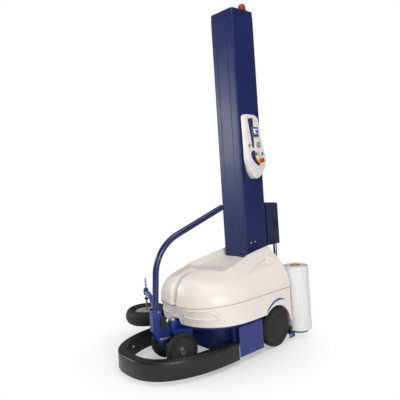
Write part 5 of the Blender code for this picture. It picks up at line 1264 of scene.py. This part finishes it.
for count in range(4):
    angle = math.pi / 2 * count
    arrow = [(0.0165, 0), (0.0100, 0.0052), (0.0100, -0.0052)]
    arrow = [(KEYS_AT[0] + a * math.cos(angle) - b * math.sin(angle),
              KEYS_AT[1] + a * math.sin(angle) + b * math.cos(angle)) for a, b in arrow]
    piece("arrow_key_%d" % count, *slab(rounded(arrow, 0.0015), seat - 0.0040, seat - 0.0020, "Y"),
          key_rubber, "chassis", radius=0.0004)
piece("middle_key", *slab(circle(0.0048, 32, KEYS_AT), seat - 0.0042, seat - 0.0022, "Y"),
      key_rubber, "chassis", radius=0.0005)

# ================================================================ push buttons
# Three flush caps in satin chromed collars: green to start, white to reset, blue for mode.
level = panel_face(BUTTON_Z)
for name, code, dark in (("start", "1E8A4A", "177A3F"), ("reset", "E3E4E2", "D4D6D4"),
                         ("mode", "2A55A8", "234A97")):
    middle = (BUTTON_X[name], 0, BUTTON_Z)
    cap_plastic = surface("moulded_button_cap_" + name, code, dark, 0.3, 1, 0.02, patch=8,
                          IOR=1.53)
    cap = [(0.0002, level + 0.010), (0.0100, level + 0.010), (0.0100, level - 0.0040),
           (0.0092, level - 0.0050), (0.0060, level - 0.0047), (0.0002, level - 0.0045)]
    piece(name + "_cap", *turned(cap, "Y", middle, 40), cap_plastic, name, name + "_button")
    collar = [(0.0104, level + 0.002), (0.0140, level + 0.002), (0.0140, level - 0.0022),
              (0.0128, level - 0.0034), (0.0104, level - 0.0034)]
    piece(name + "_collar", *turned(collar, "Y", middle, 40), chromed_ring, "chassis")

# ================================================================ emergency stop
# A red latching mushroom of glossy thermoplastic with finger ribs round its edge, over a
# round yellow plate.
estop_red = surface("moulded_nylon_signal_red", "C41E22", "AE181C", 0.25, 1.5, 0.02, patch=15,
                    IOR=1.53, Coat_Weight=0.3, Coat_Roughness=0.08)
estop_yellow = surface("moulded_nylon_signal_yellow", "E8B70E", "D6A50A", 0.35, 1.5, 0.03, patch=20,
                       IOR=1.53)
level = panel_face(STOP_AT[1])
plate_ring = [(0.0092, level + 0.002), (0.0235, level + 0.002), (0.025, level - 0.0010),
              (0.0245, level - 0.0028), (0.0175, level - 0.0034), (0.0160, level - 0.0100),
              (0.0092, level - 0.0100)]
piece("estop_plate", *turned(plate_ring, "Y", (STOP_AT[0], 0, STOP_AT[1])), estop_yellow, "chassis",
      "estop_collar")
head = [(0.0002, 0.0), (0.0082, 0.0), (0.0082, -0.018), (0.0175, -0.020), (0.0190, -0.0225),
        (0.0190, -0.0300), (0.0178, -0.0335), (0.0140, -0.0362), (0.0075, -0.0378),
        (0.0002, -0.038)]
HEAD_STEPS, RIB_PITCH, RIB_DEPTH = 144, 6, 0.0005
loops = []
for step in range(HEAD_STEPS):
    angle = 2 * math.pi * step / HEAD_STEPS
    rib = RIB_DEPTH if step % RIB_PITCH < RIB_PITCH / 2 else 0.0
    ribbed = [(radius - (rib if radius > 0.0185 else 0), out) for radius, out in head]
    loops.append([(STOP_AT[0] + radius * math.sin(angle), level + out,
                   STOP_AT[1] + radius * math.cos(angle)) for radius, out in ribbed])
piece("estop_head", *skin_over(loops, ring=True), estop_red, "estop", "estop_mushroom", crease=50)

# ================================================================ key switch
# A die-cast, chromed barrel with a black face and a small bar that turns with the key.
level = panel_face(KEY_AT[1])
barrel = [(0.0022, level - 0.002), (0.0102, level + 0.004), (0.0125, level + 0.004),
          (0.0125, level - 0.0012), (0.0115, level - 0.0024), (0.0100, level - 0.0024),
          (0.0096, level - 0.0080), (0.0085, level - 0.0092), (0.0022, level - 0.0092)]
piece("key_barrel", *turned(barrel, "Y", (KEY_AT[0], 0, KEY_AT[1]), 40), chromed_ring, "key",
      "key_switch")
face = slab(circle(0.0078, 40, KEY_AT), level - 0.0102, level - 0.0085, "Y")
piece("key_face", *face, plug_plastic, "key", radius=0.0004)
BAR_HALF, BAR_LONG = 0.0021, 0.0070
grip_bar = rounded([(KEY_AT[0] - BAR_HALF, KEY_AT[1] - BAR_LONG),
                    (KEY_AT[0] + BAR_HALF, KEY_AT[1] - BAR_LONG),
                    (KEY_AT[0] + BAR_HALF, KEY_AT[1] + BAR_LONG),
                    (KEY_AT[0] - BAR_HALF, KEY_AT[1] + BAR_LONG)], 0.0020)
piece("key_bar", *slab(grip_bar, level - 0.0135, level - 0.0095, "Y"), zinc_plate, "key",
      radius=0.0005)

# ================================================================ rear bracket and knob
# A small folded bracket behind the left rear wheel, powder-coated bright cobalt, with a
# five-lobed black thermoset knob screwed down through it.
BRACKET = ((1.232, -0.386, 0.024), (1.300, -0.382, 0.060))
piece("bracket_face", *block(*BRACKET), powder_coat_bright, "chassis", "rear_bracket", radius=0.001)
piece("bracket_top", *slab(rounded([(1.232, -0.386), (1.300, -0.386), (1.300, -0.3103),
                                    (1.232, -0.3103)], 0.006), 0.056, 0.060), powder_coat_bright,
      "chassis", radius=0.001)
piece("bracket_tab", *slab(rounded([(-0.3143, 0.056), (-0.300, 0.056), (-0.300, 0.100),
                                    (-0.3143, 0.100)], 0.002), 1.2571, 1.2612, "X"),
      powder_coat_bright, "chassis")
piece("bracket_web", *block((1.2571, -0.3143, 0.056), (1.300, -0.3103, 0.100)), powder_coat_bright,
      "chassis", radius=0.001)
screw("bracket_bolt", (1.246, -0.386, 0.042), (0, -1, 0), "chassis", 0.0075)
KNOB_AT = (1.267, -0.366)
loops = []
KNOB_STEPS, KNOB_LOBES = 80, 5
for step in range(KNOB_STEPS):
    angle = 2 * math.pi * step / KNOB_STEPS
    lobe = 0.5 + 0.5 * math.cos(KNOB_LOBES * angle)
    wide = 0.0135 + 0.0063 * lobe ** 0.7
    ring = [(0.0002, 0.0603), (0.010, 0.0603), (0.010, 0.086), (wide - 0.002, 0.086), (wide, 0.089),
            (wide, 0.101), (wide - 0.0015, 0.1045), (wide - 0.005, 0.1065), (0.006, 0.108),
            (0.0002, 0.108)]
    loops.append([(KNOB_AT[0] + radius * math.cos(angle), KNOB_AT[1] + radius * math.sin(angle),
                   z) for radius, z in ring])
piece("knob_head", *skin_over(loops, ring=True), plug_plastic, "knob", "lock_knob", crease=50)
stem = [(0.0002, 0.048), (0.0050, 0.048), (0.0055, 0.050), (0.0055, 0.061), (0.0002, 0.061)]
piece("knob_stem", *turned(stem, centre=(*KNOB_AT, 0), steps=24), zinc_plate, "knob")

# ================================================================ film carriage
# Folded and welded steel, powder-coated navy: a back plate that runs on the mast, a reel
# table below, a shelf above, and a sheet-steel cover with louvres over the stretch drive.
CARRIAGE_Z = (0.044, 1.048)
piece("carriage_back", *slab(rounded([(-0.115, CARRIAGE_Z[0]), (0.115, CARRIAGE_Z[0]),
                                      (0.115, CARRIAGE_Z[1]), (-0.115, CARRIAGE_Z[1])], 0.004),
                             1.346, 1.354, "X"), powder_coat_navy, "carriage", "carriage_frame",
      radius=0.001)
NECK_FRONT = 1.2905
for name, low in (("low", 0.340), ("high", 0.840)):
    piece("carriage_neck_" + name, *block((NECK_FRONT, -0.028, low), (1.350, 0.028, low + 0.060)),
          turned_steel, "carriage", radius=0.002)
    piece("carriage_shoe_" + name, *block((NECK_FRONT, -0.060, low + 0.004),
                                          (1.3345, 0.060, low + 0.056)),
          moulded_case, "carriage", radius=0.002)
piece("belt_clamp", *block((1.2742, -0.010, 0.846), (1.2950, 0.010, 0.894)), zinc_plate, "carriage",
      radius=0.001)
REEL_AT, TABLE_R = (1.390, -0.360), 0.0736
table = [(1.346, 0.100), (1.346, -0.115)]
for step in range(25):
    angle = math.radians(150 + 200 * step / 24)
    table.append((REEL_AT[0] + TABLE_R * math.cos(angle), REEL_AT[1] + TABLE_R * math.sin(angle)))
table += [(1.484, -0.115), (1.484, 0.085), (1.470, 0.100)]
piece("reel_table", *slab(table, 0.044, 0.0487), powder_coat_navy, "carriage", radius=0.001)
shelf = rounded([(1.350, -0.112), (1.502, -0.112), (1.502, 0.112), (1.350, 0.112)], 0.006)
piece("roller_shelf", *slab(shelf, 0.710, 0.718), powder_coat_navy, "carriage", radius=0.001)
cover_navy = surface("powder_coated_steel_slate", "1B2340", "202845", 0.45, 4, 0.05, IOR=1.5,
                     Specular_IOR_Level=0.35)
COVER_X, COVER_SIDE, COVER_Z = (1.3543, 1.512), 0.125, (0.710, 1.058)


def box_ring(inset, radius, steps=8):
    """The cover's plan with its two rear corners folded round."""
    side_y, middle = COVER_SIDE - inset, COVER_X[1] - inset - radius
    ring = [(COVER_X[0], -side_y)]
    for start, centre_y in ((-90, -side_y + radius), (0, side_y - radius)):
        for step in range(steps + 1):
            angle = math.radians(start + 90 * step / steps)
            ring.append((middle + radius * math.cos(angle), centre_y + radius * math.sin(angle)))
    return ring + [(COVER_X[0], side_y)]


levels = [(COVER_Z[0], 0), (COVER_Z[1] - 0.016, 0), (COVER_Z[1] - 0.008, 0.0012),
          (COVER_Z[1] - 0.003, 0.005), (COVER_Z[1], 0.012)]
shell_loops = [[(x, y, z) for x, y in box_ring(inset, 0.012)] for z, inset in levels]
piece("cover_shell", *skin_over(shell_loops), cover_navy, "carriage", "carriage_cover", crease=40)
# Near-black slabs in the louvre openings stand for the dark inside the cover: painted shade.
louvre_painted_shade = surface("shadowed_louvre_black", "07080B", "0B0C10", 0.8, 3, 0.03, IOR=1.4)
LOUVRE_PITCH = 0.0125
for name, hand in SIDES:
    for patch, (x0, x1, z_low, z_high) in enumerate(((1.441, 1.485, 0.864, 0.915),
                                                    (1.377, 1.436, 0.721, 0.775))):
        for row in range(int((z_high - z_low) / LOUVRE_PITCH)):
            z = z_low + row * LOUVRE_PITCH
            face = hand * COVER_SIDE
            slot = slab(rounded([(x0, z), (x1, z), (x1, z + 0.008), (x0, z + 0.008)], 0.003),
                        *sorted((face - hand * 0.002, face + hand * 0.0003)), axis="Y")
            piece("louvre_slot_%s_%d_%d" % (name, patch, row), *slot, louvre_painted_shade, "carriage")
            hood_lip = skin_over([[(x, face + hand * out, z + lift) for out, lift in
                                   ((0.0002, 0.0095), (0.0034, 0.0055), (0.0034, 0.0045),
                                    (0.0002, 0.0085))] for x in (x0 + 0.001, x1 - 0.001)])
            piece("louvre_lip_%s_%d_%d" % (name, patch, row), *hood_lip, cover_navy, "carriage")
    screw("cover_screw_%s" % name, (1.468, hand * COVER_SIDE, 0.838), (0, hand, 0), "carriage",
          0.005, plug_plastic)

# ================================================================ film rollers
# A rubber-covered drive roller and a plain bright idle roller, upright behind the mast.
roller_rubber = surface("ground_roller_rubber_grey", "4A4C4E", "414345", 0.65, 1.5, 0.06, patch=40,
                        IOR=1.52)
drive = [(0.0002, 0.049), (0.012, 0.049), (0.012, 0.058), (0.028, 0.058), (0.030, 0.060),
         (0.030, 0.706), (0.028, 0.708), (0.012, 0.708), (0.012, 0.718), (0.0002, 0.718)]
piece("drive_roller_body", *turned(drive, centre=(1.420, 0.045, 0)), roller_rubber, "drive",
      "drive_roller")
idle = [(0.0002, 0.049), (0.007, 0.049), (0.007, 0.059), (0.0145, 0.059), (0.016, 0.0605),
        (0.016, 0.7055), (0.0145, 0.707), (0.007, 0.707), (0.007, 0.718), (0.0002, 0.718)]
piece("idle_roller_body", *turned(idle, centre=(1.474, -0.095, 0)), turned_steel, "idle",
      "idle_roller")

# ================================================================ film reel
# Clear stretch film wound on a kraft tube: the layers make it a milky gloss white with slightly
# uneven ends, and its lighter upright streaks are painted highlights; it stands on a steel spindle
# with a thin disc.
spindle = [(0.0002, 0.049), (0.0695, 0.049), (0.070, 0.0496), (0.070, 0.0618), (0.0695, 0.0622),
           (0.0365, 0.0622), (0.0365, 0.196), (0.0330, 0.2023), (0.0002, 0.2023)]
piece("spindle_cup", *turned(spindle, centre=(*REEL_AT, 0)), turned_steel, "reel", "reel_spindle")
kraft = surface("spiral_wound_kraft_tube", "B79A72", "A88A62", 0.75, 1.2, 0.08, patch=30, IOR=1.5,
                Specular_IOR_Level=0.25)
core = [(0.0370, 0.0626), (0.0405, 0.0626), (0.0405, 0.5676), (0.0400, 0.5686), (0.0375, 0.5686),
        (0.0370, 0.5676)]
piece("core_tube", *turned(core, centre=(*REEL_AT, 0)), kraft, "reel", "film_core")
film, tree, shader = finish("wound_stretch_film", IOR=1.5, Coat_Weight=0.5, Coat_Roughness=0.1,
                            Subsurface_Weight=0.15, Subsurface_Scale=0.01)
place = add(tree, "TexCoord").outputs["Object"]
# Upright streaks about 6 mm wide and 250 mm long give a faint bump and painted highlights in the
# colour; layer bands 2.4 mm apart on the ends.
long_way = add(tree, "Mapping", {"Vector": place, "Scale": (160, 160, 4)})
streak_bump_and_highlight = add(tree, "TexNoise", {"Vector": long_way.outputs[0], "Scale": 1.0, "Detail": 4.0})
haze = add(tree, "TexNoise", {"Vector": place, "Scale": 12.0, "Detail": 3.0})
painted_streak_highlight = add(tree, "MapRange", {"Value": streak_bump_and_highlight.outputs["Fac"], "From Min": 0.3, "From Max": 0.7})
tone = add(tree, "Mix", {0: painted_streak_highlight.outputs[0], 6: linear("DEDFE0"), 7: linear("EEEEEE")},
           data_type="RGBA")
gloss = add(tree, "MapRange", {"Value": haze.outputs["Fac"], "From Min": 0.35, "From Max": 0.65,
                               "To Min": 0.12, "To Max": 0.26})
bump = add(tree, "Bump", {"Height": streak_bump_and_highlight.outputs["Fac"], "Distance": 0.0006, "Strength": 0.8})
tree.links.new(tone.outputs[2], shader.inputs["Base Color"])
tree.links.new(gloss.outputs[0], shader.inputs["Roughness"])
tree.links.new(bump.outputs[0], shader.inputs["Normal"])
WOUND_FROM, WOUND_TO, ROLL_LOW, ROLL_HIGH, BANDS = 0.0407, 0.0985, 0.0656, 0.5626, 24
roll = [(WOUND_FROM, ROLL_LOW)]
for step in range(1, BANDS):
    roll.append((WOUND_FROM + (WOUND_TO - WOUND_FROM) * step / BANDS,
                 ROLL_LOW + 0.0006 * (step % 2)))
roll += [(WOUND_TO, ROLL_LOW), (0.100, 0.0680), (0.0996, 0.20), (0.1000, 0.34), (0.0995, 0.47),
         (0.100, 0.5600), (WOUND_TO, ROLL_HIGH)]
for step in range(1, BANDS):
    roll.append((WOUND_TO - (WOUND_TO - WOUND_FROM) * step / BANDS,
                 ROLL_HIGH - 0.0008 * (step % 2)))
roll.append((WOUND_FROM, ROLL_HIGH))
piece("film_winding", *turned(roll, centre=(*REEL_AT, 0), steps=120), film, "reel", "film_roll",
      crease=30)

# ================================================================ studio
# A plain pale floor and white surround with soft lamps; the camera stands 1.3 m high, off
# the machine's front left corner.
pale_floor, tree, shader = finish("studio_floor_pale", Roughness=0.9, Specular_IOR_Level=0.1)
place = add(tree, "TexCoord").outputs["Object"]
grain = add(tree, "TexNoise", {"Vector": place, "Scale": 60.0, "Detail": 3.0})
tone = add(tree, "Mix", {0: grain.outputs["Fac"], 6: linear("F6F6F6"), 7: linear("FAFAFA")},
           data_type="RGBA")
tree.links.new(tone.outputs[2], shader.inputs["Base Color"])
# Away from the machine the floor fades into the white surround.
distance = add(tree, "VectorMath", {0: place}, operation="LENGTH").outputs["Value"]
far = add(tree, "MapRange", {"Value": distance, "From Min": 0.55, "From Max": 1.0, "To Min": 0.35})
white = add(tree, "Emission", {"Color": (1, 1, 1, 1), "Strength": 1.0})
faded = add(tree, "MixShader", {0: far.outputs[0], 1: shader.outputs[0], 2: white.outputs[0]})
seen = add(tree, "LightPath")
choose = add(tree, "MixShader", {0: seen.outputs["Is Camera Ray"], 1: shader.outputs[0],
                                 2: faded.outputs[0]})
tree.links.new(choose.outputs[0], tree.nodes["Material Output"].inputs["Surface"])
floor_mesh = bpy.data.meshes.new("studio_floor")
FLOOR_HALF = 30
floor_mesh.from_pydata([(-FLOOR_HALF, -FLOOR_HALF, 0), (FLOOR_HALF, -FLOOR_HALF, 0),
                        (FLOOR_HALF, FLOOR_HALF, 0), (-FLOOR_HALF, FLOOR_HALF, 0)], [],
                       [(0, 1, 2, 3)])
floor_mesh.materials.append(pale_floor)
floor = bpy.data.objects.new("studio_floor", floor_mesh)
bpy.context.scene.collection.objects.link(floor)

world = bpy.data.worlds.new("studio_surround")
world.use_nodes = True
tree = world.node_tree
tree.nodes.clear()
seen = add(tree, "LightPath")
soft = add(tree, "Background", {"Color": (1, 1, 1, 1), "Strength": 0.34})
dim = add(tree, "Background", {"Color": (1, 1, 1, 1), "Strength": 0.22})
white = add(tree, "Background", {"Color": (1, 1, 1, 1), "Strength": 1.0})
gloss = add(tree, "MixShader", {0: seen.outputs["Is Glossy Ray"], 1: soft.outputs[0],
                                2: dim.outputs[0]})
choose = add(tree, "MixShader", {0: seen.outputs["Is Camera Ray"], 1: gloss.outputs[0],
                                 2: white.outputs[0]})
out = add(tree, "OutputWorld", {"Surface": choose.outputs[0]})
bpy.context.scene.world = world

for name, spot, aim, width, height, power in (
        ("softbox_front_right", (-3.2, 3.4, 2.15), (0.1, 0, 1.4), 1.6, 1.5, 84),
        ("softbox_overhead", (-0.8, -1.2, 4.4), (0, 0, 0.4), 2.6, 2.6, 70),
        ("softbox_camera_side", (-2.2, -4.8, 1.6), (0, 0, 0.4), 2.2, 1.8, 114)):
    lamp = bpy.data.lights.new(name, "AREA")
    lamp.shape = "RECTANGLE"
    lamp.size, lamp.size_y, lamp.energy = width, height, power
    stand = bpy.data.objects.new(name, lamp)
    stand.location = spot
    stand.rotation_euler = (Vector(aim) - Vector(spot)).to_track_quat("-Z", "Y").to_euler()
    bpy.context.scene.collection.objects.link(stand)

YAW, PITCH, ROLL = -0.69984, -0.00518, -0.06341
CAMERA_AT, FOCAL_MM, SENSOR_MM = (-2.322, -2.736815, 1.325), 40.709, 36.0
back = Vector((math.sin(YAW) * math.cos(PITCH), -math.cos(YAW) * math.cos(PITCH), math.sin(PITCH)))
level = (-back).cross(Vector((0, 0, 1))).normalized()
upright = level.cross(-back)
right = level * math.cos(ROLL) + upright * math.sin(ROLL)
up = upright * math.cos(ROLL) - level * math.sin(ROLL)
lens = bpy.data.cameras.new("studio_camera")
lens.sensor_width, lens.lens = SENSOR_MM, FOCAL_MM
lens.shift_x, lens.shift_y = 0.0273055, -0.0640847
camera = bpy.data.objects.new("studio_camera", lens)
camera.matrix_world = Matrix.Translation(CAMERA_AT) @ Matrix(
    (right, up, back)).transposed().to_4x4()
bpy.context.scene.collection.objects.link(camera)
bpy.context.scene.camera = camera
bpy.context.scene.view_settings.view_transform = "Standard"
